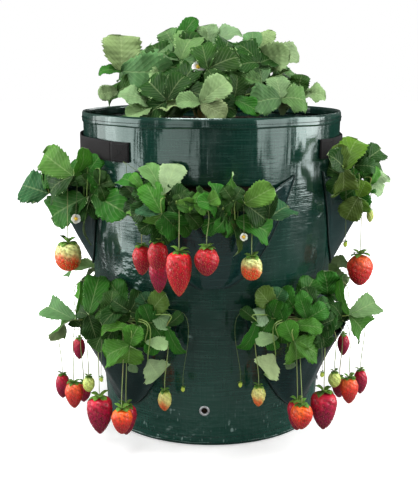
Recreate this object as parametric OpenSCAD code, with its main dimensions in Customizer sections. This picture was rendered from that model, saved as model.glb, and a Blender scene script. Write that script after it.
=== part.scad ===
/* [Bag] */
// Height of the filled bag, floor to rim
bag_h = 425; // [380:5:460]
// Outer radius at the rim
top_r = 175; // [160:1:190]
// Outer radius just above the base corner
base_r = 148; // [135:1:155]
// Radius of the rounded corner round the base
corner_r = 7; // [4:1:10]
// Thickness of the laminated fabric
fabric_t = 1.2; // [0.8:0.1:2]
// How early the wall flares out, lower is earlier
flare = 0.85; // [0.7:0.05:1]

/* [Rim hem] */
// Height of the folded hem
hem_h = 11; // [8:1:16]
// Thickness of one fold of the hem
hem_t = 0.8; // [0.6:0.1:1.2]

/* [Base] */
// Width of the seam tape on the base and up the wall
tape_w = 10; // [6:1:14]
// Thickness of the seam tape
tape_t = 0.8; // [0.6:0.1:1]
// Width of the upright wall seam strip
seam_w = 12; // [8:1:16]
// Direction of the upright wall seam, turned from the front
seam_az = 156; // [155:0.5:157]

/* [Pockets] */
// Height of the lowest point of the upper pockets
upper_tip_z = 212; // [205:1:220]
// Height of the lowest point of the lower pockets
lower_tip_z = 40; // [34:1:48]
// Turn of the lower pockets from the front and the back
lower_az = 50; // [46:1:52]
// Height of a pocket from its tip to the middle of its lip
pocket_h = 108; // [100:1:114]
// How much higher the lip is at its two corners
lip_rise = 33; // [25:1:36]
// Half of the angle that a pocket's mouth spans
mouth_half = 36; // [32:0.5:37]
// How far the lip stands off the wall
pocket_depth = 50; // [40:1:56]
// How far the soil lies below the lip
soil_drop = 9; // [6:1:14]
// Width of the cut in the wall behind a pocket
slot_w = 104; // [90:1:108]
// Height of the cut in the wall behind a pocket
slot_h = 38; // [30:1:42]

/* [Handles] */
// Width of the webbing
strap_w = 25; // [20:1:30]
// Thickness of the webbing
strap_t = 1.6; // [1.2:0.1:2]
// Height of the middle of the webbing
strap_z = 382; // [378:1:386]
// Half of the angle that a free loop spans
loop_half = 36.5; // [34:0.5:38]
// Angle that each sewn end covers
patch_angle = 10.5; // [8:0.5:12]
// How far the pair of handles is turned from the two sides
handle_turn = 8; // [6:0.5:12]

/* [Drain eyelets] */
// Bore of an eyelet
eyelet_bore = 8; // [6:0.5:9]
// Outer width of an eyelet's flange
eyelet_od = 13.5; // [12:0.5:15]
// Height of the eyelets above the floor
eyelet_z = 49; // [44:1:54]
// Thickness of the eyelet metal
eyelet_t = 0.6; // [0.5:0.1:0.7]

/* [Soil] */
// How far the potting mix lies below the rim
mix_drop = 15; // [12:1:25]
// Gap between the potting mix and the fabric
mix_gap = 2.2; // [2:0.1:3]
// How much higher the potting mix is in the middle than at the wall
mix_crown = 6; // [0:1:12]

/* [Plants] */
// Thickness of a leaf
leaf_t = 0.9; // [0.7:0.1:1.2]
// Width of a leaf stalk
stem_t = 1.8; // [1.4:0.1:2.4]
// Width of a fruit stalk
fruit_stem_t = 1.5; // [1.2:0.1:2]
// Height of a crown, the short trunk that all of a plant's stalks leave
crown_h = 27; // [24:1:30]
// Radius of a crown at the soil
crown_r = 7; // [5:0.5:8]

/* [Hidden] */

// Running gap between pieces that lie against each other
gap = 0.3;
// Travel of a pulled handle
pull = 25;

// Colours
fabric = [0.16, 0.29, 0.27];
dark_fabric = [0.11, 0.19, 0.21];
black_web = [0.17, 0.16, 0.17];
soil = [0.2, 0.14, 0.1];
leaf_green = [0.27, 0.45, 0.2];
berry_red = [0.78, 0.12, 0.11];
steel = [0.72, 0.73, 0.74];

// Turns of the upper pockets, the lower pockets and the eyelets from the front
UPPER_AZ = [0, 90, 180, 270];
LOWER_AZ = [lower_az, 180 - lower_az, 180 + lower_az, 360 - lower_az];
EYELET_AZ = [-3.5, 86.5, 176.5, 266.5];
// Turns of the left and the right handle from the front
HANDLE_AZ = [270 + handle_turn, 90 + handle_turn];

// How far a pocket's middle stands off the wall for each millimetre up
slope = pocket_depth / pocket_h;
// Share of a pocket's width and height that its soil fills
fill_across = 0.85;
fill_from = 0.35;
// Height between the rings of points that shape the wall
wall_step = 25;
// Facets across and up a pocket panel, and round a turned piece
panel_across = 12;
panel_up = 6;
fine = 96;
// Lift that keeps the flat facets of a pocket clear of the round wall
facet_lift = 0.5;
// How much thinner a leaf stalk is past the pocket's lip
stem_taper = 0.85;
// Width of the joint where a leaf's leaflets meet
joint_t = 3 * leaf_t;
// How far leaves and fruit keep from the bag's outline and from a handle
skin_margin = 6;
strap_margin = 8;
// How much a leaflet is folded along its middle vein and arched along its length
leaf_fold = 0.35;
leaf_arch = 0.4;

// Outer radius of the wall at a height
function wall_r(z) =
  let (t = pow(max(0, min(1, z / bag_h)), flare),
       c = max(0, corner_r - z))
  base_r + (top_r - base_r) * t * t * (3 - 2 * t) - corner_r + sqrt(corner_r * corner_r - c * c);

// Point at a turn from the front, a radius and a height
function polar(az, r, z) = [r * sin(az), -r * cos(az), z];

// Half angle of a pocket at a height above its tip
function pocket_half(h) = mouth_half * pow(max(0.001, h / (pocket_h + lip_rise)), 0.45);

// How far a pocket stands off the wall, u runs from -1 to 1 across it
function bulge(u, h) = slope * h * (1 - pow(min(1, abs(u)), 1.5));

// Height of the lip above the tip
function lip_h(u) = pocket_h + lip_rise * u * u;

function unit(v) = v / norm(v);

// Shell of one pocket, thin, with its mouth on top
module pocket_panel(tip_z, az) {
  cols = panel_across;
  rows = panel_up;
  face = [for (skin = [0, 1]) for (j = [0:rows]) for (i = [0:cols])
    let (u = 2 * i / cols - 1,
         h = 2 + pow(j / rows, 2) * (lip_h(u) - 2),
         z = tip_z + h)
    polar(az + u * pocket_half(h), wall_r(z) + gap + facet_lift + skin * fabric_t + bulge(u, h), z)];
  shell(face, cols, rows);
}

// Closed solid between two grids of points, the inner one first
module shell(face, cols, rows) {
  w = cols + 1;
  half = w * (rows + 1);
  edge = concat(
    [for (i = [0:cols]) i],
    [for (j = [1:rows]) j * w + cols],
    [for (i = [cols - 1:-1:0]) rows * w + i],
    [for (j = [rows - 1:-1:1]) j * w]);
  inner = [for (j = [0:rows - 1]) for (i = [0:cols - 1])
    let (a = j * w + i) each [[a, a + 1, a + w + 1], [a, a + w + 1, a + w]]];
  outer = [for (f = inner) [f[0] + half, f[2] + half, f[1] + half]];
  rim = [for (k = [0:len(edge) - 1])
    let (a = edge[k], b = edge[(k + 1) % len(edge)])
    each [[b, a, a + half], [b, a + half, b + half]]];
  polyhedron(points = face, faces = concat(inner, outer, rim), convexity = 4);
}

module wall_panel() {
  heights = [for (k = [0:1:4]) k / 4 * corner_r];
  rises = concat([for (h = heights) max(fabric_t, h)],
                 [for (z = [wall_step:wall_step:bag_h - wall_step]) z],
                 [bag_h - hem_t - gap]);
  color(fabric)
    difference() {
      rotate_extrude($fn = fine)
        polygon(concat([for (z = rises) [wall_r(z), z]],
                       [for (k = [len(rises) - 1:-1:0]) [wall_r(rises[k]) - fabric_t, rises[k]]]));
      for (az = UPPER_AZ) slot(az, upper_tip_z);
      for (az = LOWER_AZ) slot(az, lower_tip_z);
      for (az = EYELET_AZ) at_eyelet(az)
        cylinder(h = 20, d = eyelet_bore + 2 * eyelet_t + 2 * gap, center = true, $fn = fine);
    }
}

// Cut behind a pocket that lets roots into the potting mix
module slot(az, tip_z) {
  rotate([0, 0, az])
    translate([-slot_w / 2, -top_r - pocket_depth, tip_z + pocket_h - slot_h + lip_rise / 2])
      cube([slot_w, pocket_depth + top_r / 2, slot_h]);
}

module rim_hem() {
  r_out = wall_r(bag_h) + gap;
  r_in = wall_r(bag_h - hem_h) - fabric_t - gap;
  color(fabric)
    rotate_extrude($fn = fine)
      polygon([[r_in - hem_t, bag_h - hem_h], [r_in, bag_h - hem_h], [r_in, bag_h - hem_t],
               [r_out, bag_h - hem_t], [r_out, bag_h - hem_h], [r_out + hem_t, bag_h - hem_h],
               [r_out + hem_t, bag_h], [r_in - hem_t, bag_h]]);
}

module base_panel() {
  color(fabric) cylinder(h = fabric_t, r = wall_r(fabric_t), $fn = fine);
}

module base_seam_tape() {
  r = wall_r(fabric_t) - fabric_t - gap;
  color(black_web)
    rotate_extrude($fn = fine)
      polygon([[r - tape_w, fabric_t], [r, fabric_t], [r, fabric_t + tape_w],
               [r - tape_t, fabric_t + tape_w], [r - tape_t, fabric_t + tape_t],
               [r - tape_w, fabric_t + tape_t]]);
}

// Flat strip that covers the joint of the wall fabric on the inside
module wall_seam_strip() {
  low = fabric_t + tape_w + wall_step / 4;
  high = bag_h - hem_h - 1;
  last = 8;
  heights = [for (k = [0:last]) low + k / last * (high - low)];
  r_in = [for (z = heights) wall_r(z) - fabric_t - gap];
  color(fabric)
    intersection() {
      rotate_extrude($fn = fine)
        polygon(concat([for (k = [0:last]) [r_in[k], heights[k]]],
                       [for (k = [last:-1:0]) [r_in[k] - tape_t, heights[k]]]));
      rotate([0, 0, seam_az])
        translate([-seam_w / 2, -top_r, 0]) cube([seam_w, top_r, bag_h]);
    }
}

module pocket_upper_front() { color(dark_fabric) pocket_panel(upper_tip_z, UPPER_AZ[0]); }
module pocket_upper_right() { color(dark_fabric) pocket_panel(upper_tip_z, UPPER_AZ[1]); }
module pocket_upper_back() { color(dark_fabric) pocket_panel(upper_tip_z, UPPER_AZ[2]); }
module pocket_upper_left() { color(dark_fabric) pocket_panel(upper_tip_z, UPPER_AZ[3]); }
module pocket_lower_front_right() { color(dark_fabric) pocket_panel(lower_tip_z, LOWER_AZ[0]); }
module pocket_lower_back_right() { color(dark_fabric) pocket_panel(lower_tip_z, LOWER_AZ[1]); }
module pocket_lower_back_left() { color(dark_fabric) pocket_panel(lower_tip_z, LOWER_AZ[2]); }
module pocket_lower_front_left() { color(dark_fabric) pocket_panel(lower_tip_z, LOWER_AZ[3]); }

// Stretch of webbing round the wall between two turns from the front
module webbing(from_az, to_az) {
  r = wall_r(strap_z + strap_w / 2) + gap;
  color(black_web)
    translate([0, 0, strap_z - strap_w / 2])
      rotate([0, 0, from_az - 90])
        rotate_extrude(angle = to_az - from_az, $fn = fine)
          translate([r, 0]) square([strap_t, strap_w]);
}

// Angle of the gap between a free loop and its sewn ends
seam_angle = gap / top_r * 180 / PI;

module loop_at(side_az) { webbing(side_az - loop_half, side_az + loop_half); }
module ends_at(side_az) {
  for (s = [-1, 1]) {
    near = side_az + s * (loop_half + seam_angle);
    far = side_az + s * (loop_half + seam_angle + patch_angle);
    webbing(min(near, far), max(near, far));
  }
}
module handle_left_strap() { loop_at(HANDLE_AZ[0]); }
module handle_left_ends() { ends_at(HANDLE_AZ[0]); }
module handle_right_strap() { loop_at(HANDLE_AZ[1]); }
module handle_right_ends() { ends_at(HANDLE_AZ[1]); }

// Lean of the wall at the eyelets
eyelet_tilt = atan((wall_r(eyelet_z + eyelet_od) - wall_r(eyelet_z - eyelet_od)) / 2 / eyelet_od);
// Puts its children flat on the wall's outer face, with Z pointing out
module at_eyelet(az) {
  rotate([0, 0, az]) translate([0, -wall_r(eyelet_z), eyelet_z])
    rotate([90 + eyelet_tilt, 0, 0]) children();
}

module eyelets() {
  bore = eyelet_bore / 2;
  neck = bore + eyelet_t;
  color(steel)
    for (az = EYELET_AZ) at_eyelet(az)
      rotate_extrude($fn = fine)
        polygon([[bore, -fabric_t - 2 * gap - eyelet_t], [neck, -fabric_t - 2 * gap - eyelet_t],
                 [neck, gap], [eyelet_od / 2, gap], [eyelet_od / 2, gap + eyelet_t],
                 [bore, gap + eyelet_t]]);
}

module eyelet_washers() {
  color(steel)
    for (az = EYELET_AZ) at_eyelet(az)
      translate([0, 0, -fabric_t - 2 * gap - eyelet_t])
        difference() {
          cylinder(h = eyelet_t, d = eyelet_od - 1.5, $fn = fine);
          translate([0, 0, -1])
            cylinder(h = eyelet_t + 2, d = eyelet_bore + 2 * eyelet_t + gap, $fn = fine);
        }
}

module potting_mix() {
  floor_z = fabric_t + tape_t + gap;
  edge_z = bag_h - mix_drop - mix_crown;
  rises = concat([floor_z], [for (z = [wall_step:wall_step:edge_z - wall_step / 4]) z], [edge_z]);
  color(soil)
    rotate_extrude($fn = fine)
      polygon(concat([[0, floor_z - gap - tape_t]],
                     [[wall_r(fabric_t) - tape_w - 2 * mix_gap, floor_z - gap - tape_t]],
                     [[wall_r(fabric_t) - tape_w - 2 * mix_gap, floor_z + gap]],
                     [[wall_r(fabric_t) - fabric_t - tape_t - mix_gap, floor_z + gap]],
                     [for (z = rises) if (z > floor_z) [wall_r(z) - fabric_t - mix_gap, z]],
                     [[0, mix_z(0)]]));
}

// Height of the potting mix at a distance from the bag's middle
function mix_z(r) = bag_h - mix_drop - mix_crown * r / (wall_r(bag_h - mix_drop) - fabric_t - mix_gap);

module pocket_mix() {
  color(soil) {
    for (az = UPPER_AZ) pocket_fill(upper_tip_z, az);
    for (az = LOWER_AZ) pocket_fill(lower_tip_z, az);
  }
}

// Soil in one pocket, level on top
module pocket_fill(tip_z, az) {
  cols = 8;
  rows = 3;
  low = pocket_h * fill_from;
  high = pocket_h - soil_drop;
  face = [for (skin = [0, 1]) for (j = [0:rows]) for (i = [0:cols])
    let (u = fill_across * (2 * i / cols - 1),
         h = low + j / rows * (high - low),
         z = tip_z + h)
    polar(az + u * pocket_half(h), wall_r(z) + gap + facet_lift + skin * (bulge(u, h) - 4 * gap), z)];
  shell(face, cols, rows);
}

// Lip height of a pocket at a turn away from its middle
function lip_z(tip_z, turn) = tip_z + lip_h(min(1, abs(turn) / mouth_half));

// How far the bag and its pockets reach to the front at a place in the front view
function pocket_reach(turn, h) =
  h <= 0 || h > lip_h(1) ? 0
  : let (u = turn / pocket_half(h)) abs(u) < 1 ? bulge(u, min(h, pocket_h)) : 0;
function skin_r(az, z) =
  wall_r(z) + fabric_t + gap + facet_lift
  + max([for (turn = [0, 90]) pocket_reach(az - turn, z - upper_tip_z),
         pocket_reach(az - lower_az, z - lower_tip_z)]);
function strap_reach(x, z) =
  abs(z - strap_z) > strap_w || x < top_r / 2 || x > top_r + strap_margin + pull ? 0
  : pull * sin(handle_turn)
    + sqrt(max(0, pow(top_r + strap_margin, 2) - pow(max(0, x - pull), 2)));
function reach(x, z) =
  max([strap_reach(x, z),
       for (az = [0:3:87])
         let (r = skin_r(az, z)) r * sin(az) > x - skin_margin ? r * cos(az) : 0]);

// A plant's place: x and z of its middle in the front view, its scale, 1 or -1 to mirror it,
// the least distance in front of the bag's middle, and its pocket's tip height and turn
LEFT_SIDE = [-163, 328, 1, 1, 24, upper_tip_z, 90];
FRONT_RIGHT = [29, 317, 0.73, -1, 0, upper_tip_z, 0];
FRONT_LEFT = [-58, 320, 1, 1, 0, upper_tip_z, 0];
RIGHT_SIDE = [183, 350, 1, 1, 40, upper_tip_z, 90];
LOWER_LEFT = [-110, 163, 1, 1, 72, lower_tip_z, lower_az];
LOWER_RIGHT = [110, 169, 1, -1, 72, lower_tip_z, lower_az];

// Where a point of a plant lies in the bag's frame: across, out from the bag and up
function placed(at, p, also_z = 0) =
  let (x = at[0] + at[3] * at[2] * p[0], z = at[1] + at[2] * p[2])
  [x, -max(at[4], reach(abs(x), z), also_z > 0 ? reach(abs(x), also_z) : 0) - at[2] * p[1], z];

// Where a fruit or a low leaf hangs, clear of the pocket's lip above it
function hung(at, b) =
  let (lip = at[5] + pocket_h - skin_margin)
  placed(at, [b[0], b[1], b[2]], at[1] + at[2] * b[2] < lip ? lip : 0);

// Point above a place at which its stalk has cleared the pocket's lip
function cleared(at, p, above) =
  let (turn = atan2(abs(p.x), -p.y) - at[6])
  [p.x, p.y, max(p.z, lip_z(at[5], turn) + above)];

// Leaves: the point where the leaflets meet, then each leaflet's tip, width and roll
SIDE_LEAVES = [
  [[-12, 20, 19], [[-53, 50, 43], 30, 0], [[5, 12, 54], 18, 55], [[-45, 36, -9], 32, 10]],
  [[-51, 34, -9], [[-86, 30, 0], 42, 0], [[-54, 24, 34], 18, 20]],
  [[3, 12, -8], [[-50, 24, -42], 36, 0]],
  [[11, 12, -4], [[53, 10, -20], 32, 0], [[1, 12, -71], 13, 50], [[22, 8, 18], 12, 30]]
];
SIDE_BERRIES = [[-24, 24, -70, 37, 37, 0.85]];
SIDE_BUDS = [[-11, 30, -42, 12]];

FRONT_LEAVES = [
  [[2, 16, 20], [[-13, 10, 53], 24, 0], [[21, 12, 54], 27, 0]],
  [[-23, 18, 24], [[-54, 14, 27], 15, 0], [[-37, 10, 38], 10, 0]],
  [[0, 24, -2], [[-18, 12, 28], 22, 0], [[-24, 26, 5], 24, 10], [[-38, 14, 1], 24, -15],
                [[-20, 14, -32], 26, 0], [[19, 14, -25], 26, 0]],
  [[17, 16, 10], [[37, 14, 14], 12, 20], [[33, 16, 5], 9, 0]],
  [[53, 14, 14], [[37, 12, 19], 10, 0], [[65, 12, 19], 14, 0], [[43, 16, 3], 13, 0],
                 [[63, 10, -3], 8, 0]]
];
FRONT_BERRIES = [
  [-27, 14, -50, 22, 34, 0.7], [-6, 15, -39, 24, 62, 0.55],
  [20, 23, -46, 32, 51, 0.6], [52, 18, -40, 29, 33, 0.8]
];
FRONT_BUDS = [[-46, 14, 34, 6], [-42, 14, 19, 6]];

RIGHT_LEAVES = [
  [[-20, 12, 10], [[-28, 10, 38], 18, 0], [[0, 10, 42], 32, 0], [[-38, 8, 27], 24, -20],
                  [[-16, 10, -24], 28, 0]],
  [[11, 20, 14], [[38, 20, 26], 22, 0], [[9, 16, 36], 12, 0]],
  [[6, 26, -31], [[-8, 30, -58], 24, 0], [[14, 32, -54], 18, 0], [[14, 34, -12], 16, 0]],
  [[22, 30, -17], [[46, 30, -7], 16, 0], [[42, 28, -28], 14, 0], [[32, 34, 4], 10, 30]]
];
RIGHT_BERRIES = [[14, 24, -112, 36, 41, 0.8], [28, 20, -54, 10, 17, 0.8]];
RIGHT_BUDS = [[-8, 12, -91, 8]];

LOWER_LEAVES = [
  [[-63, 26, 7], [[-104, 24, 9], 24, 0], [[-86, 34, -27], 32, 10], [[-62, 20, 44], 12, 40]],
  [[-43, 18, 18], [[-32, 18, 57], 34, 0], [[-35, 22, -9], 22, 0], [[-58, 12, 16], 14, 0]],
  [[0, 16, 20], [[-19, 14, 46], 24, 0], [[-21, 24, 14], 18, 0]],
  [[9, 20, 4], [[-24, 26, -1], 17, 20]],
  [[10, 30, -14], [[20, 26, 9], 20, 0], [[6, 28, -41], 28, 0], [[-20, 28, -35], 26, 0]],
  [[34, 14, 20], [[22, 12, 41], 18, 0], [[51, 14, 43], 22, 0], [[57, 16, 9], 18, 0]],
  [[55, 18, 9], [[72, 14, 21], 12, 0], [[73, 12, -30], 14, 40]],
  [[28, 22, -12], [[54, 22, -15], 12, 0], [[50, 22, -46], 26, 0]],
  [[14, 14, -38], [[9, 12, -62], 10, 0]]
];
LOWER_BERRIES = [
  [-91, 12, -88, 20, 33, 0.75], [-66, 52, -76, 24, 34, 0.65], [-57, 6, -85, 20, 26, 0.7],
  [-46, 20, -66, 17, 20, 0.85], [-32, 22, -90, 35, 49, 0.55], [-1, 42, -94, 27, 31, 0.7],
  [2, 14, -99, 27, 39, 0.65], [51, 14, -80, 19, 26, 0.75]
];
LOWER_BUDS = [[74, 14, -74, 7], [-27, 34, -57, 7]];

// Top leaves: places in the bag's frame, seen from the rim's centre
TOP_FRONT = [
  [[-77, -80, 10], [[-115, -85, 24], 28, 0], [[-73, -60, 42], 12, 30], [[-44, -90, 14], 26, 0],
                   [[-103, -100, -2], 22, 0]],
  [[-14, -100, 14], [[19, -90, 38], 26, 0], [[-42, -110, 14], 18, 0], [[15, -115, 0], 22, 0]],
  [[29, -70, 18], [[33, -60, 46], 24, 0], [[60, -85, 2], 18, 0], [[5, -75, 30], 20, 0]],
  [[89, -70, 18], [[54, -80, 12], 32, 0], [[121, -65, 14], 36, 0], [[84, -50, 44], 24, 0]]
];
TOP_MIDDLE = [
  [[-120, -20, 52], [[-122, 0, 96], 40, 0], [[-55, -40, 54], 38, 0], [[-149, -15, 50], 14, 0]],
  [[-125, -20, 26], [[-149, -25, 22], 16, 0], [[-98, -30, 34], 26, 0]],
  [[-51, -30, 53], [[-14, -15, 93], 34, 0], [[-62, -50, 31], 36, 0], [[-78, -10, 84], 26, 0]],
  [[7, -20, 39], [[12, 0, 84], 32, 0], [[30, -20, 60], 22, 0], [[-20, -30, 40], 22, 0]],
  [[54, 0, 71], [[20, -10, 74], 24, 0], [[56, 20, 102], 20, 0], [[101, -10, 74], 30, 0]],
  [[118, 0, 18], [[152, -5, 18], 30, 0], [[122, 0, 45], 22, 0]]
];
TOP_BACK = [
  [[-2, 60, 86], [[-32, 60, 104], 24, 0], [[-8, 70, 112], 24, 0], [[39, 60, 100], 26, 0]],
  [[-50, 60, 80], [[-64, 70, 105], 26, 0], [[-24, 65, 121], 18, 0], [[-86, 50, 70], 22, 0]],
  [[70, 55, 78], [[84, 60, 105], 20, 0], [[118, 45, 66], 24, 0], [[50, 70, 92], 20, 0]],
  [[-90, 70, 30], [[-120, 80, 52], 30, 0], [[-60, 90, 44], 28, 0], [[-100, 105, 22], 26, 0]],
  [[0, 100, 34], [[-26, 115, 52], 28, 0], [[30, 115, 50], 28, 0], [[0, 140, 26], 26, 0]],
  [[85, 75, 30], [[118, 85, 46], 28, 0], [[60, 100, 40], 26, 0], [[92, 110, 18], 24, 0]]
];

// A leaflet's eight points along and across it, the loop round its edge and its faces
leaf_rows = [0, 0.3, 0.3, 0.3, 0.7, 0.7, 0.7, 1];
leaf_sides = [0, -0.4, 0, 0.4, -0.5, 0, 0.5, 0];
leaf_edge = [0, 1, 4, 7, 6, 3];
leaf_faces = [[0, 1, 2], [0, 2, 3], [1, 4, 5], [1, 5, 2], [2, 5, 6], [2, 6, 3], [4, 7, 5], [5, 7, 6]];

// One leaflet, folded up a little along its middle vein and arched along its length
module leaflet(base, tip, width, roll, facing = [0, -1, 0.45]) {
  along = unit(tip - base);
  flat = unit(facing - (facing * along) * along);
  right = cross(along, flat);
  up = cos(roll) * flat + sin(roll) * right;
  side = cross(along, up);
  top = [for (k = [0:7])
    base + leaf_rows[k] * (tip - base) + leaf_sides[k] * width * side
    + (leaf_fold * abs(leaf_sides[k]) * width
       + leaf_arch * leaf_rows[k] * (1 - leaf_rows[k]) * norm(tip - base)) * up];
  below = [for (p = top) p - leaf_t * up];
  polyhedron(
    points = concat(top, below),
    faces = concat(
      leaf_faces,
      [for (f = leaf_faces) [f[0] + 8, f[2] + 8, f[1] + 8]],
      [for (k = [0:5]) let (a = leaf_edge[k], b = leaf_edge[(k + 1) % 6])
        each [[b, a, a + 8], [b, a + 8, b + 8]]]));
}

// Straight stalk between two points, with its width at each of them
module stem(from, to, from_t, to_t) {
  hull() {
    translate(from) cube(from_t, center = true);
    translate(to) cube(to_t, center = true);
  }
}

// Four-sided tube along a list of points
module stalk(route) {
  n = len(route);
  rings = [for (k = [0:n - 1])
    let (a = unit(route[min(k + 1, n - 1)] - route[max(k - 1, 0)]),
         u = unit(cross(a, [0.35, 1, 0.15])),
         v = cross(a, u))
    for (q = [0:3]) route[k] + fruit_stem_t / 2 * (cos(90 * q) * u + sin(90 * q) * v)];
  polyhedron(
    points = rings,
    faces = concat(
      [[0, 1, 2], [0, 2, 3]],
      [for (k = [0:n - 2]) for (q = [0:3])
        let (a = 4 * k + q, b = 4 * k + (q + 1) % 4)
        each [[a, a + 4, b + 4], [a, b + 4, b]]],
      [let (e = 4 * n - 4) each [[e, e + 2, e + 1], [e, e + 3, e + 2]]]));
}

// One leaf with its stalk, up out of the crown and across to where its leaflets meet
module leaf(rise, over, spots) {
  hub = spots[0];
  if (over != hub) {
    stem(rise, over, stem_t, stem_t);
    stem(over, hub, stem_t * stem_taper, joint_t);
  } else stem(rise, hub, stem_t, joint_t);
  for (k = [1:len(spots) - 1])
    leaflet(hub, spots[k][0], spots[k][1], spots[k][2]);
}

// Fruit profile: rounded shoulders, its widest place set by the power
function berry_r(w, t, power) = w / 2 * sqrt(max(0, sin(180 * pow(t, power))));

module berry(top, w, h, power) {
  steps = [0.03, 0.1, 0.22, 0.38, 0.56, 0.74, 0.9, 0.97];
  translate(top)
    rotate_extrude($fn = fine)
      polygon(concat([[0, 0]], [for (t = steps) [berry_r(w, t, power), -t * h]], [[0, -h]]));
}

// Soil height and the place of a plant's crown in its pocket
function soil_z(tip_z) = tip_z + pocket_h - soil_drop;
function crown_at(tip_z, az, out) = polar(az, wall_r(soil_z(tip_z)) + out, soil_z(tip_z) + gap);

module trunk(at) { translate(at) cylinder(h = crown_h, r1 = crown_r, r2 = crown_r * 0.8, $fn = 8); }

// Crown, leaves, fruit stalks and calyxes of one plant
module plant(at, crown, leaves, berries, buds) {
  rise = crown + [0, 0, crown_h - crown_r];
  color(leaf_green) {
    trunk(crown);
    for (l = leaves) {
      hub = hung(at, l[0]);
      leaf(rise, cleared(at, hub, 10), concat([hub],
        [for (k = [1:len(l) - 1]) [placed(at, l[k][0]), at[2] * l[k][1], at[3] * l[k][2]]]));
    }
    for (b = berries) {
      top = hung(at, b) + [0, 0, gap];
      stalk([rise, cleared(at, top + [0, 0, 20], 5), top + [0, 0, 12], top + [0, 0, 1]]);
      translate(top) cylinder(h = 2.5, r1 = at[2] * b[3] * 0.42, r2 = 2, $fn = 6);
    }
    for (b = buds) {
      top = hung(at, b);
      stalk([rise, cleared(at, top + [0, 0, 10], 5), top - [0, 0, 1]]);
      translate(top - [0, 0, at[2] * b[3]]) cylinder(h = at[2] * b[3], r1 = b[3] / 4, r2 = b[3] / 2, $fn = 6);
    }
  }
}

module fruit(at, berries) {
  color(berry_red)
    for (b = berries)
      berry(hung(at, b), at[2] * b[3], at[2] * b[4], b[5]);
}

module plant_upper_left() {
  plant(LEFT_SIDE, crown_at(upper_tip_z, -82, 22), SIDE_LEAVES, SIDE_BERRIES, SIDE_BUDS);
}
module berries_upper_left() { fruit(LEFT_SIDE, SIDE_BERRIES); }

module plant_upper_right() {
  plant(RIGHT_SIDE, crown_at(upper_tip_z, 82, 22), RIGHT_LEAVES, RIGHT_BERRIES, RIGHT_BUDS);
}
module berries_upper_right() { fruit(RIGHT_SIDE, RIGHT_BERRIES); }

module plant_upper_front_left() {
  plant(FRONT_LEFT, crown_at(upper_tip_z, -13, 16), FRONT_LEAVES, FRONT_BERRIES, FRONT_BUDS);
}
module berries_upper_front_left() { fruit(FRONT_LEFT, FRONT_BERRIES); }

module plant_upper_front_right() {
  plant(FRONT_RIGHT, crown_at(upper_tip_z, 12, 16), SIDE_LEAVES, SIDE_BERRIES, SIDE_BUDS);
}
module berries_upper_front_right() { fruit(FRONT_RIGHT, SIDE_BERRIES); }

module plant_upper_back_left() { mirror([0, 1, 0]) plant_upper_front_left(); }
module berries_upper_back_left() { mirror([0, 1, 0]) berries_upper_front_left(); }
module plant_upper_back_right() { mirror([0, 1, 0]) plant_upper_front_right(); }
module berries_upper_back_right() { mirror([0, 1, 0]) berries_upper_front_right(); }

module plant_lower_front_left() {
  plant(LOWER_LEFT, crown_at(lower_tip_z, -lower_az, 18), LOWER_LEAVES, LOWER_BERRIES, LOWER_BUDS);
}
module berries_lower_front_left() { fruit(LOWER_LEFT, LOWER_BERRIES); }
module plant_lower_front_right() {
  plant(LOWER_RIGHT, crown_at(lower_tip_z, lower_az, 18), LOWER_LEAVES, LOWER_BERRIES, LOWER_BUDS);
}
module berries_lower_front_right() { fruit(LOWER_RIGHT, LOWER_BERRIES); }
module plant_lower_back_left() { mirror([0, 1, 0]) plant_lower_front_left(); }
module berries_lower_back_left() { mirror([0, 1, 0]) berries_lower_front_left(); }
module plant_lower_back_right() { mirror([0, 1, 0]) plant_lower_front_right(); }
module berries_lower_back_right() { mirror([0, 1, 0]) berries_lower_front_right(); }

// Plants that grow out of the bag's mouth, all leaves rising from one crown
module top_plants(crown, leaves) {
  foot = [crown.x, crown.y, mix_z(max(0, norm(crown) - crown_r)) + gap];
  color(leaf_green) {
    trunk(foot);
    for (l = leaves)
      leaf(foot + [0, 0, crown_h / 2], [0, 0, bag_h] + l[0], concat([[0, 0, bag_h] + l[0]],
        [for (k = [1:len(l) - 1]) [[0, 0, bag_h] + l[k][0], l[k][1], l[k][2]]]));
  }
}
module plants_top_front() { top_plants([0, -60], TOP_FRONT); }
module plants_top_middle() { top_plants([-15, -5], TOP_MIDDLE); }
module plants_top_back() { top_plants([5, 55], TOP_BACK); }

wall_panel();
rim_hem();
base_panel();
base_seam_tape();
wall_seam_strip();
pocket_upper_front();
pocket_upper_right();
pocket_upper_back();
pocket_upper_left();
pocket_lower_front_right();
pocket_lower_back_right();
pocket_lower_back_left();
pocket_lower_front_left();
handle_left_strap();
handle_left_ends();
handle_right_strap();
handle_right_ends();
eyelets();
eyelet_washers();
potting_mix();
pocket_mix();
plants_top_front();
plants_top_middle();
plants_top_back();
plant_upper_left();
plant_upper_right();
plant_upper_front_left();
plant_upper_front_right();
plant_upper_back_left();
plant_upper_back_right();
plant_lower_front_left();
plant_lower_front_right();
plant_lower_back_left();
plant_lower_back_right();
berries_upper_left();
berries_upper_right();
berries_upper_front_left();
berries_upper_front_right();
berries_upper_back_left();
berries_upper_back_right();
berries_lower_front_left();
berries_lower_front_right();
berries_lower_back_left();
berries_lower_back_right();
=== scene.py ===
"""Looks of a planted fabric grow bag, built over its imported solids.

Lengths are written in millimetres and become metres when a mesh is made. +X is right, -Y is
the front, +Z is up, and the origin is the middle of the base. Directions round the bag are
degrees from the front, positive towards +X.
"""

import logging
import math
from dataclasses import dataclass, replace
from enum import Enum
from functools import partial
from typing import Any, Optional, Sequence, Union

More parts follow.
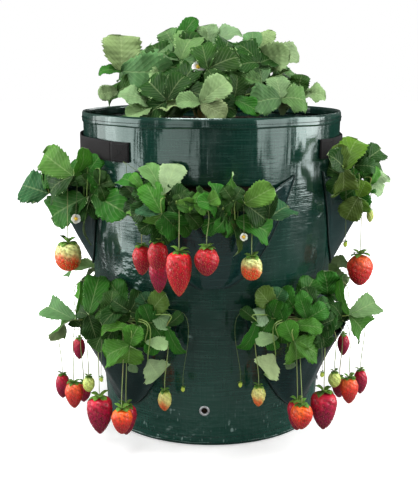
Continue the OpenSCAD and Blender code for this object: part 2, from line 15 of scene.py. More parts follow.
import bpy
import numpy as np
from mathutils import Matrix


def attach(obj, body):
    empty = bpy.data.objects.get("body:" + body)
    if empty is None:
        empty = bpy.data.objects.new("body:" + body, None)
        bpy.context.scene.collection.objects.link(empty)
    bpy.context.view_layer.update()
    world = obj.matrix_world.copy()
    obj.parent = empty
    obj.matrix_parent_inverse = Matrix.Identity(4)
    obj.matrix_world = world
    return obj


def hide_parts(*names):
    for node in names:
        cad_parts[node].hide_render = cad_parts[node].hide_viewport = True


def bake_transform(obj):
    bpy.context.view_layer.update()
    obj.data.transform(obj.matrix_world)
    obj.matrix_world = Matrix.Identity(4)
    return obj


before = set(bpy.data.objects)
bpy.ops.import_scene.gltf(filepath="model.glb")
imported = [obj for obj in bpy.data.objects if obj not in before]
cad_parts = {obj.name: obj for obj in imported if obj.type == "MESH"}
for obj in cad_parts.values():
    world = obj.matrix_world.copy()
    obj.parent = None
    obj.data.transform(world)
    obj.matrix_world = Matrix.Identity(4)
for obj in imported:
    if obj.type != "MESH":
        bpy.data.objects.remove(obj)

Array = np.ndarray
Numbers = Sequence[float]
Random = np.random.Generator
Spot = tuple[float, float, float]
Socket = bpy.types.NodeSocket
Value = Union[float, Numbers, Socket]
MM = 0.001
# Degrees in a radian, rounded.
RADIAN = 57.3
INK = (0.01, 0.01, 0.01)
ROOT = "bag"
EAST, NORTH, UP = np.eye(3)
BLACK, GREY, WHITE = (0, 0, 0), (0.5, 0.5, 0.5), (1, 1, 1)
log = logging.getLogger("grow_bag")


def linear(code: str) -> Array:
    """Turns a written screen colour, six hexadecimal digits, into linear light."""
    parts = np.array([int(code[k : k + 2], 16) / 255 for k in (0, 2, 4)])
    return np.where(parts <= 0.04045, parts / 12.92, ((parts + 0.055) / 1.055) ** 2.4)


def unit(v: Array) -> Array:
    """Scales vectors along the last axis to length one."""
    v = np.asarray(v, float)
    return v / np.maximum(np.linalg.norm(v, axis=-1, keepdims=True), 1e-9)


def polar(az: Array, r: Array, z: Array) -> Array:
    """Points round the bag at a direction, a radius and a height: x = r sin(az), y = -r cos(az)."""
    az, r, z = np.broadcast_arrays(np.radians(az), r, z)
    return np.stack([r * np.sin(az), -r * np.cos(az), z], -1)


def outward(az: Array) -> Array:
    """Level direction away from the bag's middle."""
    return polar(az, 1.0, 0.0)


def sideways(az: Array) -> Array:
    """Level direction along the wall, the way that angles grow."""
    return polar(np.asarray(az) + 90, 1.0, 0.0)


def circle(count: int) -> Array:
    """Angles in radians evenly round a circle."""
    return np.linspace(0, 2 * np.pi, count, endpoint=False)


def eased(t: Array) -> Array:
    """Smooth step from 0 to 1."""
    return t * t * (3 - 2 * t)


# Meshes


@dataclass
class Skin:
    """A surface being made. A face with fewer than four corners ends in -1."""

    points: Array
    faces: Array
    uv: Array
    tint: Array
    finish: Array

    @classmethod
    def of(
        cls, points: Array, faces: Array, uv: Optional[Array] = None, tint: Numbers = GREY, finish: int = 0
    ) -> "Skin":
        """Wraps points and faces.

        Args:
            points: Places of the corners.
            faces: Corner numbers, four to a face.
            uv: Texture place of each point.
            tint: Colour of them all.
            finish: Material number of every face.

        Returns:
            The surface.
        """
        points = np.asarray(points, float).reshape(-1, 3)
        uv = points[:, :2] * MM if uv is None else np.asarray(uv, float).reshape(-1, 2)
        tint = np.broadcast_to(np.asarray(tint, float), (len(points), 3)).copy()
        return cls(points, np.asarray(faces, int), uv, tint, np.full(len(faces), finish))

    def mirrored(self) -> "Skin":
        """The same surface seen in a mirror across the bag, front to back.

        Returns:
            The mirrored surface, its faces outward again.
        """
        flipped = self.faces[:, ::-1].copy()
        short = flipped[:, 0] < 0
        flipped[short] = np.roll(flipped[short], -1, axis=1)
        return replace(self, points=self.points * [1, -1, 1], faces=flipped)


def join(parts: Sequence[Skin]) -> Skin:
    """Puts surfaces together in one.

    Args:
        parts: The surfaces.

    Returns:
        One surface with every point and face.
    """
    starts = np.cumsum([0] + [len(p.points) for p in parts[:-1]])
    faces = [np.where(p.faces < 0, -1, p.faces + s) for p, s in zip(parts, starts)]
    rest = ([getattr(p, key) for p in parts] for key in ("uv", "tint", "finish"))
    return Skin(np.concatenate([p.points for p in parts]), *map(np.concatenate, (faces, *rest)))


def grid_faces(rows: int, cols: int, wrap: bool = False) -> Array:
    """Faces of a grid of points stored row by row, outward where across x along is outward.

    Args:
        rows: Rows of points.
        cols: Points in a row.
        wrap: Whether the last column meets the first.

    Returns:
        Corner numbers, four to a face.
    """
    i, j = np.meshgrid(np.arange(cols if wrap else cols - 1), np.arange(rows - 1))
    a, b = j * cols + i, j * cols + (i + 1) % cols
    return np.stack([a, b, b + cols, a + cols], -1).reshape(-1, 4)


def ring_faces(rows: int, cols: int) -> Array:
    """Faces of a grid that closes both ways, round its section and round its run."""
    return grid_faces(rows + 1, cols, wrap=True) % (rows * cols)


def ball_faces(rings: int, sides: int) -> Array:
    """Faces of rings of points with a point at each end, the first ring on top.

    Args:
        rings: How many rings.
        sides: Points in a ring.

    Returns:
        Corner numbers, with -1 in the fourth place of a triangle.
    """
    i, j = np.meshgrid(np.arange(sides), np.arange(rings - 1))
    near, far = 1 + j * sides + i, 1 + j * sides + (i + 1) % sides
    body = np.stack([near, near + sides, far + sides, far], -1).reshape(-1, 4)
    k, after, end = np.arange(sides), (np.arange(sides) + 1) % sides, rings * sides + 1
    none, low = np.full(sides, -1), 1 + (rings - 1) * sides
    top = np.stack([np.zeros(sides, int), 1 + k, 1 + after, none], -1)
    foot = np.stack([np.full(sides, end), low + after, low + k, none], -1)
    return np.concatenate([top, body, foot])


def slab(
    outer: Array,
    inner: Array,
    uv: Array,
    wrap: bool = False,
    keep: Optional[Array] = None,
    tint: Numbers = GREY,
) -> Skin:
    """Closed sheet between two grids. Edges used by one face only are walled up.

    Args:
        outer: Grid of points, rows by columns by three.
        inner: The same grid on the other face.
        uv: Texture places of the grid, rows by columns by two.
        wrap: Whether the grid closes round the bag.
        keep: Which faces stay, for a sheet with holes.
        tint: Colour of the sheet.

    Returns:
        The closed sheet.
    """
    rows, cols = outer.shape[:2]
    front = grid_faces(rows, cols, wrap)
    if keep is not None:
        front = front[keep.reshape(-1)]
    count = rows * cols
    edges = np.stack([front, np.roll(front, -1, axis=1)], -1).reshape(-1, 2)
    codes, back = edges[:, 0] * count + edges[:, 1], edges[:, 1] * count + edges[:, 0]
    rim = edges[~np.isin(codes, back)]
    wall = np.stack([rim[:, 1], rim[:, 0], rim[:, 0] + count, rim[:, 1] + count], -1)
    faces = np.concatenate([front, front[:, ::-1] + count, wall])
    points = np.concatenate([outer.reshape(-1, 3), inner.reshape(-1, 3)])
    places = np.concatenate([uv.reshape(-1, 2)] * 2)
    used = np.unique(faces)
    number = np.zeros(2 * count, int)
    number[used] = np.arange(len(used))
    return Skin.of(points[used], number[faces], places[used], tint)


def smooth_path(points: Sequence[Array], count: int) -> Array:
    """Curve through points, each stretch a cubic whose slope is half its neighbours' step.

    Args:
        points: Points to pass through.
        count: Points on the curve.

    Returns:
        The curve's points.
    """
    p = np.asarray(points, float)
    slopes = np.gradient(p, axis=0)
    at = np.linspace(0, len(p) - 1, count)
    k = np.minimum(at.astype(int), len(p) - 2)
    t = (at - k)[:, None]
    rise = eased(t)
    return p[k] * (1 - rise) + p[k + 1] * rise + slopes[k] * t * (1 - t) ** 2 + slopes[k + 1] * (t**3 - t**2)


def tube(
    path: Array, radius: Union[float, Array], sides: int = 6, tint: Numbers = GREY, finish: int = 0
) -> Skin:
    """Round tube along a path, closed at both ends, each ring square to the path.

    Args:
        path: Points along the middle.
        radius: One radius, or one for each point.
        sides: Points round a ring.
        tint: Colour.
        finish: Material number.

    Returns:
        The tube.
    """
    path = np.asarray(path, float)
    heading = unit(np.gradient(path, axis=0))
    steep = abs(heading[:, 2]).mean() >= 0.7
    a = unit(np.cross(heading, [0.9, 0.4, 0.1] if steep else [0.31, 0.22, 0.93]))
    b = np.cross(a, heading)
    radii = np.broadcast_to(np.asarray(radius, float), (len(path),))[:, None, None]
    turn = circle(sides)[None, :, None]
    rings = path[:, None] + radii * (np.cos(turn) * a[:, None] + np.sin(turn) * b[:, None])
    points = np.concatenate([path[:1], rings.reshape(-1, 3), path[-1:]])
    places = np.stack(np.meshgrid(np.linspace(0, 1, sides), np.linspace(0, 1, len(path))), -1).reshape(-1, 2)
    uv = np.concatenate([[[0.5, 0]], places, [[0.5, 1]]])
    return Skin.of(points, ball_faces(len(path), sides), uv, tint, finish)


def bead(rings: int = 3, sides: int = 6, finish: int = 0, tint: Numbers = GREY) -> Skin:
    """Ball of radius one with few faces, for stitches, seeds and crumbs.

    Args:
        rings: Rings of points between its ends.
        sides: Points in a ring.
        finish: Material number.
        tint: Colour.

    Returns:
        The ball.
    """
    tilt, turn = np.linspace(0, np.pi, rings + 2)[1:-1, None], circle(sides)[None]
    height = np.cos(tilt) * np.ones_like(turn)
    ring = np.stack([np.sin(tilt) * np.cos(turn), np.sin(tilt) * np.sin(turn), height], -1)
    points = np.concatenate([[UP], ring.reshape(-1, 3), [-UP]])
    return Skin.of(points, ball_faces(rings, sides), None, tint, finish)


def scatter(form: Skin, centres: Array, axes: Sequence[Array], tint: Optional[Numbers] = None) -> Skin:
    """Copies of a small form, each at a centre and stretched along three directions.

    Args:
        form: The small form, about one unit in size.
        centres: Places, one for each copy.
        axes: Where the form's x, y and z go, one of each for every copy or for all.
        tint: Colour of the copies, where it isn't the form's own.

    Returns:
        All copies in one surface.
    """
    count, size = len(centres), len(form.points)
    x, y, z = (np.broadcast_to(axis, (count, 3))[:, None] for axis in axes)
    p = form.points[None]
    made = centres[:, None] + p[..., :1] * x + p[..., 1:2] * y + p[..., 2:] * z
    lift = (np.arange(count) * size)[:, None, None]
    faces = np.where(form.faces[None] < 0, -1, form.faces[None] + lift).reshape(-1, 4)
    shade = form.tint[0] if tint is None else tint
    return Skin.of(made, faces, np.tile(form.uv, (count, 1)), shade, int(form.finish[0]))


def stitches(centres: Array, heading: Array, out: Array, size: Numbers) -> Skin:
    """Thread showing at each centre, as material one: its half length, height and width are the size."""
    across = np.cross(heading, out)
    return scatter(bead(2, 5, 1), centres, (heading * size[0], out * size[1], across * size[2]))


def clouds(points: Array, size: float, seed: int, count: int = 20) -> Array:
    """Smooth random heights, the sum of plane waves that run in random directions.

    Args:
        points: Places, any shape ending in three.
        size: Length of the middle wave.
        seed: Which set of waves.
        count: How many waves.

    Returns:
        Heights of about -1 to 1.
    """
    rng = np.random.default_rng(seed)
    waves = unit(rng.normal(size=(count, 3))) * (2 * np.pi / size) * rng.uniform(0.6, 1.7, (count, 1))
    phase = rng.uniform(0, 2 * np.pi, count)
    return np.cos(points @ waves.T + phase).sum(-1) / math.sqrt(count)


def make_object(
    name: str, skin: Skin, finishes: Sequence[bpy.types.Material], around: float = 0.0
) -> bpy.types.Object:
    """Makes the Blender object of a surface, in place.

    Args:
        name: The object's name.
        skin: Its surface, in millimetres.
        finishes: Its materials, by number.
        around: Length of the texture round the bag, where the surface closes on itself.

    Returns:
        The object.
    """
    mesh = bpy.data.meshes.new(name)
    corners, sizes = skin.faces[skin.faces >= 0], (skin.faces >= 0).sum(1)
    starts = np.concatenate([[0], np.cumsum(sizes)[:-1]])
    mesh.vertices.add(len(skin.points))
    mesh.vertices.foreach_set("co", (skin.points * MM).astype(np.float32).ravel())
    mesh.loops.add(len(corners))
    mesh.loops.foreach_set("vertex_index", corners.astype(np.int32))
    mesh.polygons.add(len(skin.faces))
    mesh.polygons.foreach_set("loop_start", starts.astype(np.int32))
    mesh.polygons.foreach_set("material_index", skin.finish.astype(np.int32))
    mesh.polygons.foreach_set("use_smooth", np.ones(len(skin.faces), bool))
    mesh.update(calc_edges=True)
    uv = skin.uv[corners]
    if around > 0:
        highest = np.repeat(np.maximum.reduceat(uv[:, 0], starts), sizes)
        uv[:, 0] += around * (highest - uv[:, 0] > around / 2)
    mesh.uv_layers.new(name="UVMap").data.foreach_set("uv", uv.astype(np.float32).ravel())
    tint = mesh.attributes.new("tint", "FLOAT_COLOR", "POINT")
    rgba = np.concatenate([skin.tint, np.ones((len(skin.tint), 1))], 1)
    tint.data.foreach_set("color", rgba.astype(np.float32).ravel())
    for finish in finishes:
        mesh.materials.append(finish)
    piece = bpy.data.objects.new(name, mesh)
    bpy.context.scene.collection.objects.link(piece)
    return piece


def add_piece(
    name: str,
    skin: Skin,
    finishes: Sequence[bpy.types.Material],
    replaces: Sequence[str] = (),
    body: Optional[str] = ROOT,
    around: float = 0.0,
) -> bpy.types.Object:
    """Makes the Blender object of a surface, in place, and ties it to the frame.

    Args:
        name: The piece's name.
        skin: Its surface, in millimetres.
        finishes: Its materials, by number.
        replaces: CAD nodes that it stands for.
        body: The body it rides on, or None where it is left loose.
        around: Length of the texture round the bag, where the surface closes on itself.

    Returns:
        The object.
    """
    piece = make_object(name, skin, finishes, around)
    if body is not None:
        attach(piece, body)
    if replaces:
        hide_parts(*replaces)
    log.info("%s: %d faces, stands for %s", name, len(skin.faces), ", ".join(replaces) or "no node")
    return piece


def dress(node: str, finish: bpy.types.Material) -> None:
    """Gives a CAD node that stays a finish.

    Args:
        node: The node's name.
        finish: Its material.
    """
    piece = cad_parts[node]
    piece.data.materials.clear()
    piece.data.materials.append(finish)
    log.info("%s keeps its solid", node)


# Finishes


class Graph:
    """Short calls for the nodes of one material, or of the world."""

    def __init__(self, owner: Any, surface: str, output: str) -> None:
        """Starts with one shader that feeds the output.

        Args:
            owner: The material or the world.
            surface: Kind of the shader's node.
            output: Kind of the output's node.
        """
        owner.use_nodes = True
        self.material, self.tree = owner, owner.node_tree
        self.tree.nodes.clear()
        self.surface = self.node(surface)
        self.feed(self.node(output).inputs[0], self.surface.outputs[0])

    @classmethod
    def of_material(cls, name: str) -> "Graph":
        """The nodes of a new material."""
        return cls(bpy.data.materials.new(name), "ShaderNodeBsdfPrincipled", "ShaderNodeOutputMaterial")

    def node(self, kind: str, **settings: Any) -> bpy.types.Node:
        """Adds a node.

        Args:
            kind: Its kind.
            **settings: Its own settings.

        Returns:
            The node.
        """
        made = self.tree.nodes.new(kind)
        for key, value in settings.items():
            setattr(made, key, value)
        return made

    def feed(self, socket: Socket, value: Optional[Value]) -> None:
        """Links a socket to another, or sets its value.

        Args:
            socket: The socket.
            value: Another socket, a number, a colour or a direction. None leaves it as it is.
        """
        if isinstance(value, Socket):
            self.tree.links.new(value, socket)
        elif isinstance(value, (int, float)):
            socket.default_value = value
        elif value is not None:
            socket.default_value = (*value, 1.0)[: len(socket.default_value)]

    def fed(self, kind: str, values: dict[Any, Optional[Value]], out: int = 0, **settings: Any) -> Socket:
        """Adds a node and feeds it.

        Args:
            kind: Its kind.
            values: What goes into its sockets, by number or name.
            out: Number of the output that is wanted.
            **settings: Its own settings.

        Returns:
            That output.
        """
        made = self.node(kind, **settings)
        for key, value in values.items():
            self.feed(made.inputs[key], value)
        return made.outputs[out]

    def math(self, operation: str, *values: Value) -> Socket:
        """One step of arithmetic."""
        return self.fed("ShaderNodeMath", dict(enumerate(values)), operation=operation)

    def mul(self, a: Value, b: Value) -> Socket:
        """Product of two values."""
        return self.math("MULTIPLY", a, b)

    def add(self, a: Value, b: Value) -> Socket:
        """Sum of two values."""
        return self.math("ADD", a, b)

    def sub(self, a: Value, b: Value) -> Socket:
        """Difference of two values."""
        return self.math("SUBTRACT", a, b)

    def mix(self, share: Value, first: Value, second: Value) -> Socket:
        """Mixes two colours, the second by its share."""
        return self.fed("ShaderNodeMix", {0: share, 6: first, 7: second}, 2, data_type="RGBA")

    def span(self, value: Value, low: float, high: float, start: float = 0.0, end: float = 1.0) -> Socket:
        """Maps low..high to start..end, smoothly and no further."""
        values = dict(enumerate((value, low, high, start, end)))
        return self.fed("ShaderNodeMapRange", values, interpolation_type="SMOOTHSTEP")

    def place(self, space: str = "Object") -> Socket:
        """Object coordinates, or UV."""
        return self.node("ShaderNodeTexCoord").outputs[space]

    def axis(self, number: int, space: str = "Object") -> Socket:
        """One number of the coordinates."""
        return self.fed("ShaderNodeSeparateXYZ", {0: self.place(space)}, number)

    def noise(
        self,
        scale: Union[float, Numbers],
        detail: float = 3.0,
        rough: float = 0.5,
        kind: str = "FBM",
        space: str = "Object",
    ) -> Socket:
        """Cloudy noise, or creases where it is ridged.

        Args:
            scale: Lumps to a metre, one number or one for each axis.
            detail: How many finer layers it has.
            rough: How strong they are.
            kind: FBM or RIDGED_MULTIFRACTAL.
            space: Object or UV.

        Returns:
            The noise.
        """
        place = self.place(space)
        if not isinstance(scale, float):
            place, scale = self.fed("ShaderNodeMapping", {"Vector": place, "Scale": scale}), 1.0
        values = {"Vector": place, "Scale": scale, "Detail": detail, "Roughness": rough}
        return self.fed("ShaderNodeTexNoise", values, noise_type=kind)

    def tint(self) -> Socket:
        """The colour stored on the piece's points."""
        return self.node("ShaderNodeAttribute", attribute_name="tint").outputs["Color"]

    def bump(self, height: Value, distance: float, strength: float, under: Optional[Socket] = None) -> Socket:
        """Tilts the surface, or the normal under it, by a height that stands for so many millimetres."""
        values = {"Strength": strength, "Distance": distance * MM, "Height": height, "Normal": under}
        return self.fed("ShaderNodeBump", values)

    def seen(self) -> Socket:
        """One for what the camera sees, straight or through something clear, otherwise zero."""
        path = self.node("ShaderNodeLightPath").outputs
        return self.math("MAXIMUM", path["Is Camera Ray"], path["Is Transmission Ray"])

    def close(self, **sockets: Value) -> Any:
        """Sets the shader's sockets.

        Args:
            **sockets: Their values, the names with underscores.

        Returns:
            The material or the world.
        """
        for name, value in sockets.items():
            self.feed(self.surface.inputs[name.replace("_", " ")], value)
        return self.material


@dataclass(frozen=True)
class LaminatedCloth:
    """Woven plastic tapes under a glossy film, creased where the bag has been folded."""

    name: str
    base: str
    # Pale colour of the weave's tapes and of the painted highlights on the creases.
    weave_and_highlight: str
    gloss: float
    crease: float = 1.0
    shine: float = 0.8
    sheen: Numbers = (0.82, 1.0, 0.96)

    def make(self) -> bpy.types.Material:
        """Noise stretched along UV gives tapes, folds and scuffs; ridged noise gives the creases. The colour
        also carries painted light: pale painted highlights on the creases, lighter fold crests, and a lighter
        foot that stands for the floor's reflection.

        Returns:
            The material.
        """
        g = Graph.of_material(self.name)
        cloth, ridges = partial(g.noise, space="UV"), partial(g.noise, kind="RIDGED_MULTIFRACTAL", space="UV")
        y, base, weave_and_highlight = g.axis(1, "UV"), linear(self.base), linear(self.weave_and_highlight)
        tapes = g.add(cloth((16, 430, 1), 2.0, 0.6), g.mul(cloth((430, 30, 1), 2.0, 0.6), 0.4))
        folds, streaks = cloth((17, 5, 1), 2.0), cloth((95, 9, 1), 2.0)
        buckles, scuffs = cloth((34, 48, 1), 3.0, 0.55), cloth((70, 260, 1), 3.0, 0.6)
        crinkle, crackle_highlight = ridges((52, 70, 1), 6.0, 0.7), ridges((210, 75, 1), 5.0, 0.75)
        region = g.mul(g.span(cloth((13, 7, 1), 2.0), 0.53, 0.66), g.span(y, 0.36, 0.26, 0.04, 1.0))
        low = g.add(g.span(y, 0.12, 0.0, 0.0, 1.1), region)
        foot = g.mul(g.span(buckles, 0.47, 0.6), g.span(y, 0.09, 0.0, 0.0, 1.2))
        # Painted highlight: the creases, and the crackle lines at the foot, are painted pale as glints of
        # light where the scuffs noise is high.
        crease_highlight = g.mul(g.span(crinkle, 0.22, 0.5), g.math("MINIMUM", region, 1.0))
        crease_highlight = g.add(crease_highlight, g.mul(g.span(crackle_highlight, 0.12, 0.42), foot))
        crease_highlight = g.mul(crease_highlight, g.span(scuffs, 0.4, 0.58))
        # Painted light: the cloth is lighter where the fold noise stands high, on the fold crests.
        tone = g.mix(g.span(folds, 0.35, 0.68), base, base * 1.5)
        # Painted reflection: the colour grows lighter towards the bottom, for the pale floor mirrored in the
        # cloth.
        tone = g.mix(g.span(y, 0.13, 0.02), tone, base * 2.1)
        tone = g.mix(g.mul(g.span(tapes, 0.65, 0.9), 0.035), tone, weave_and_highlight)
        # Pale painted highlights along the creases.
        tone = g.mix(g.mul(crease_highlight, 0.8 * self.crease), tone, weave_and_highlight)
        normal = g.bump(streaks, 0.6, 0.8, g.bump(folds, 6.0, 0.8))
        normal = g.bump(g.mul(buckles, g.add(g.mul(low, 1.1), 0.1)), 3.6 * self.crease, 0.85, normal)
        normal = g.bump(g.mul(crinkle, g.add(low, 0.08)), 0.85 * self.crease, 0.85, normal)
        normal = g.bump(tapes, 0.15, 0.8, g.bump(scuffs, 0.16 * self.crease, 0.8, normal))
        rough = g.span(cloth((30, 14, 1)), 0.3, 0.75, self.gloss - 0.05, self.gloss + 0.08)
        gloss = {"Specular_IOR_Level": self.shine, "Specular_Tint": self.sheen}
        return g.close(Base_Color=tone, Roughness=rough, Normal=normal, **gloss)


@dataclass(frozen=True)
class Webbing:
    """Black woven strap, ribbed across, with a fine twill."""

    name: str = "black_webbing"
    base: str = "0C0A0B"
    rib: float = 1.5

    def make(self) -> bpy.types.Material:
        """Ribs and yarns are sine waves along UV.

        Returns:
            The material.
        """
        g = Graph.of_material(self.name)
        x, y, step = g.axis(0, "UV"), g.axis(1, "UV"), 2 * math.pi / (self.rib * MM)
        ribs = g.math("SINE", g.mul(y, step))
        slant = g.math("SINE", g.mul(g.add(x, g.mul(y, 0.6)), step))
        cloth, fuzz = g.add(g.mul(ribs, 0.6), g.mul(slant, 0.4)), g.noise(900.0, 2.0)
        dark, light = linear(self.base), linear(self.base) * 2.1
        tone = g.mix(g.mul(fuzz, 0.35), g.mix(g.span(cloth, -0.9, 0.9), dark, light), light)
        normal = g.bump(fuzz, 0.1, 0.4, g.bump(cloth, 0.25, 0.7))
        cover = {"Specular_IOR_Level": 0.15, "Sheen_Weight": 0.03}
        return g.close(Base_Color=tone, Roughness=0.72, Normal=normal, **cover)


@dataclass(frozen=True)
class Yarn:
    """Sewing thread or binding tape, a dark matt fibre."""

    name: str
    base: str
    twist: float = 1400.0

    def make(self) -> bpy.types.Material:
        """Fibres come from fine noise.

        Returns:
            The material.
        """
        g = Graph.of_material(self.name)
        fibre = g.noise(self.twist, 2.0)
        tone, normal = g.mix(fibre, linear(self.base), linear(self.base) * 1.9), g.bump(fibre, 0.12, 0.5)
        return g.close(Base_Color=tone, Roughness=0.6, Normal=normal, Specular_IOR_Level=0.35)


@dataclass(frozen=True)
class PressedMetal:
    """Plated eyelet metal with dull spots."""

    name: str = "plated_metal"
    base: str = "E2E4E6"
    dull: str = "8F9294"

    def make(self) -> bpy.types.Material:
        """Noise varies the gloss and dents the plating a little.

        Returns:
            The material.
        """
        g = Graph.of_material(self.name)
        spots = g.noise(700.0)
        tone = g.mix(g.span(spots, 0.45, 0.8), linear(self.base), linear(self.dull))
        rough, normal = g.span(spots, 0.3, 0.8, 0.38, 0.6), g.bump(spots, 0.05, 0.4)
        return g.close(Base_Color=tone, Roughness=rough, Metallic=1.0, Normal=normal)


@dataclass(frozen=True)
class PottingSoil:
    """Dark crumbly soil with paler fibres."""

    name: str = "potting_soil"
    base: str = "1B1410"
    dry: str = "33261C"
    fibre: str = "54432F"

    def make(self) -> bpy.types.Material:
        """Two sizes of noise colour and roughen the crumbs.

        Returns:
            The material.
        """
        g = Graph.of_material(self.name)
        lumps, crumbs = g.noise(160.0, 5.0, 0.65), g.noise(620.0)
        tone = g.mix(g.span(lumps, 0.35, 0.7), linear(self.base), linear(self.dry))
        tone = g.mix(g.span(crumbs, 0.62, 0.75), tone, linear(self.fibre))
        normal = g.bump(crumbs, 0.8, 0.7, g.bump(lumps, 2.5, 0.8))
        return g.close(Base_Color=tone, Roughness=0.95, Normal=normal, Specular_IOR_Level=0.15)


@dataclass(frozen=True)
class LeafBlade:
    """Strawberry leaf: a middle vein, straight side veins and soft quilting between them, painted darker
    where it sinks, as shade.
    """

    name: str = "leaf_blade"
    vein_tone: str = "BFD396"
    veins: float = 7.0
    climb: float = 0.95

    def make(self) -> bpy.types.Material:
        """UV runs across and along a leaflet; a side vein climbs as it leaves the middle.

        Returns:
            The material.
        """
        g = Graph.of_material(self.name)
        off = g.math("ABSOLUTE", g.sub(g.axis(0, "UV"), 0.5))
        phase = g.math("FRACT", g.mul(g.sub(g.axis(1, "UV"), g.mul(off, self.climb)), self.veins))
        nearest = g.math("ABSOLUTE", g.sub(phase, 0.5))
        side = g.mul(g.span(nearest, 0.11, 0.0), g.span(off, 0.5, 0.1, 0.35, 0.8))
        vein = g.math("MAXIMUM", g.span(off, 0.035, 0.008), side)
        quilt = g.sub(1.0, g.math("POWER", g.mul(g.sub(0.5, nearest), 2.0), 2.0))
        mottle, tint = g.noise(60.0, 4.0, 0.6), g.tint()
        dark = g.mix(0.74, BLACK, tint)
        tone = g.mix(g.span(mottle, 0.3, 0.65), dark, tint)
        # Painted shade: the quilting is darker where it sinks between the veins.
        tone = g.mix(g.mul(vein, 0.14), g.mix(g.mul(quilt, 0.16), tone, dark), linear(self.vein_tone))
        height = g.sub(g.mul(vein, -1.0), g.mul(quilt, 1.2))
        normal = g.bump(g.noise(1300.0, 2.0), 0.15, 0.4, g.bump(height, 0.5, 0.7))
        rough = g.span(mottle, 0.3, 0.7, 0.5, 0.66)
        return g.close(Base_Color=tone, Roughness=rough, Normal=normal, Specular_IOR_Level=0.14)


@dataclass(frozen=True)
class Stalk:
    """Leaf and fruit stalks, finely grooved, coloured by the piece."""

    name: str = "stalk"
    blush: str = "A0644A"

    def make(self) -> bpy.types.Material:
        """Noise stretched upwards makes the grooves, and cloudy noise the reddish blush.

        Returns:
            The material.
        """
        g = Graph.of_material(self.name)
        share = g.mul(g.span(g.noise(45.0, 2.0), 0.5, 0.75), 0.3)
        normal = g.bump(g.noise((900, 900, 60), 2.0), 0.15, 0.5)
        tone = g.mix(share, g.tint(), linear(self.blush))
        return g.close(Base_Color=tone, Roughness=0.5, Normal=normal, Specular_IOR_Level=0.4)


@dataclass(frozen=True)
class FruitSkin:
    """Glossy berry flesh, blotched where it is still ripening."""

    name: str = "fruit_skin"
    glow: Numbers = (0.0025, 0.0008, 0.0004)

    def make(self) -> bpy.types.Material:
        """The stored colour is darkened by noise, under a clear gloss.

        Returns:
            The material.
        """
        g = Graph.of_material(self.name)
        pores, tint = g.noise(900.0, 2.0), g.tint()
        return g.close(
            Base_Color=g.mix(g.span(g.noise(70.0), 0.35, 0.7), g.mix(0.72, BLACK, tint), tint),
            Roughness=g.span(pores, 0.3, 0.7, 0.3, 0.44),
            Normal=g.bump(g.noise(330.0, 2.0), 0.35, 0.6, g.bump(pores, 0.12, 0.5)),
            Specular_IOR_Level=0.34,
            Coat_Weight=0.08,
            Coat_Roughness=0.15,
            Subsurface_Weight=0.12,
            Subsurface_Radius=self.glow,
        )


@dataclass(frozen=True)
class Grain:
    """Seeds, petals and pollen: a stored colour with a soft grain."""

    name: str
    rough: float
    size: float

    def make(self) -> bpy.types.Material:
        """Noise shades the stored colour by a tenth and pits it.

        Returns:
            The material.
        """
        g = Graph.of_material(self.name)
        grain = g.noise(self.size, 2.0)
        tone = g.mix(g.mul(grain, 0.25), g.tint(), g.mix(0.6, BLACK, g.tint()))
        normal = g.bump(grain, 0.08, 0.4)
        return g.close(Base_Color=tone, Roughness=self.rough, Normal=normal, Specular_IOR_Level=0.4)


class Finishes:
    """Every material of the object, made once."""

    def __init__(self) -> None:
        """Makes them all."""
        self.wall = LaminatedCloth("laminated_cloth", "08271F", "93ADA6", 0.17).make()
        self.pocket = LaminatedCloth("pocket_cloth", "0A2221", "7A9290", 0.18, 0.8, 0.6).make()
        self.webbing = Webbing().make()
        self.thread = Yarn("dark_thread", "0C1413").make()
        self.piping = Yarn("black_binding", "0B1A18", 500.0).make()
        self.metal = PressedMetal().make()
        self.soil = PottingSoil().make()
        leaf, stalk, petal = LeafBlade().make(), Stalk().make(), Grain("petal", 0.55, 300.0).make()
        self.plant = [leaf, stalk, leaf, petal]
        self.fruit = [FruitSkin().make(), Grain("seed", 0.35, 600.0).make()]


# The bag


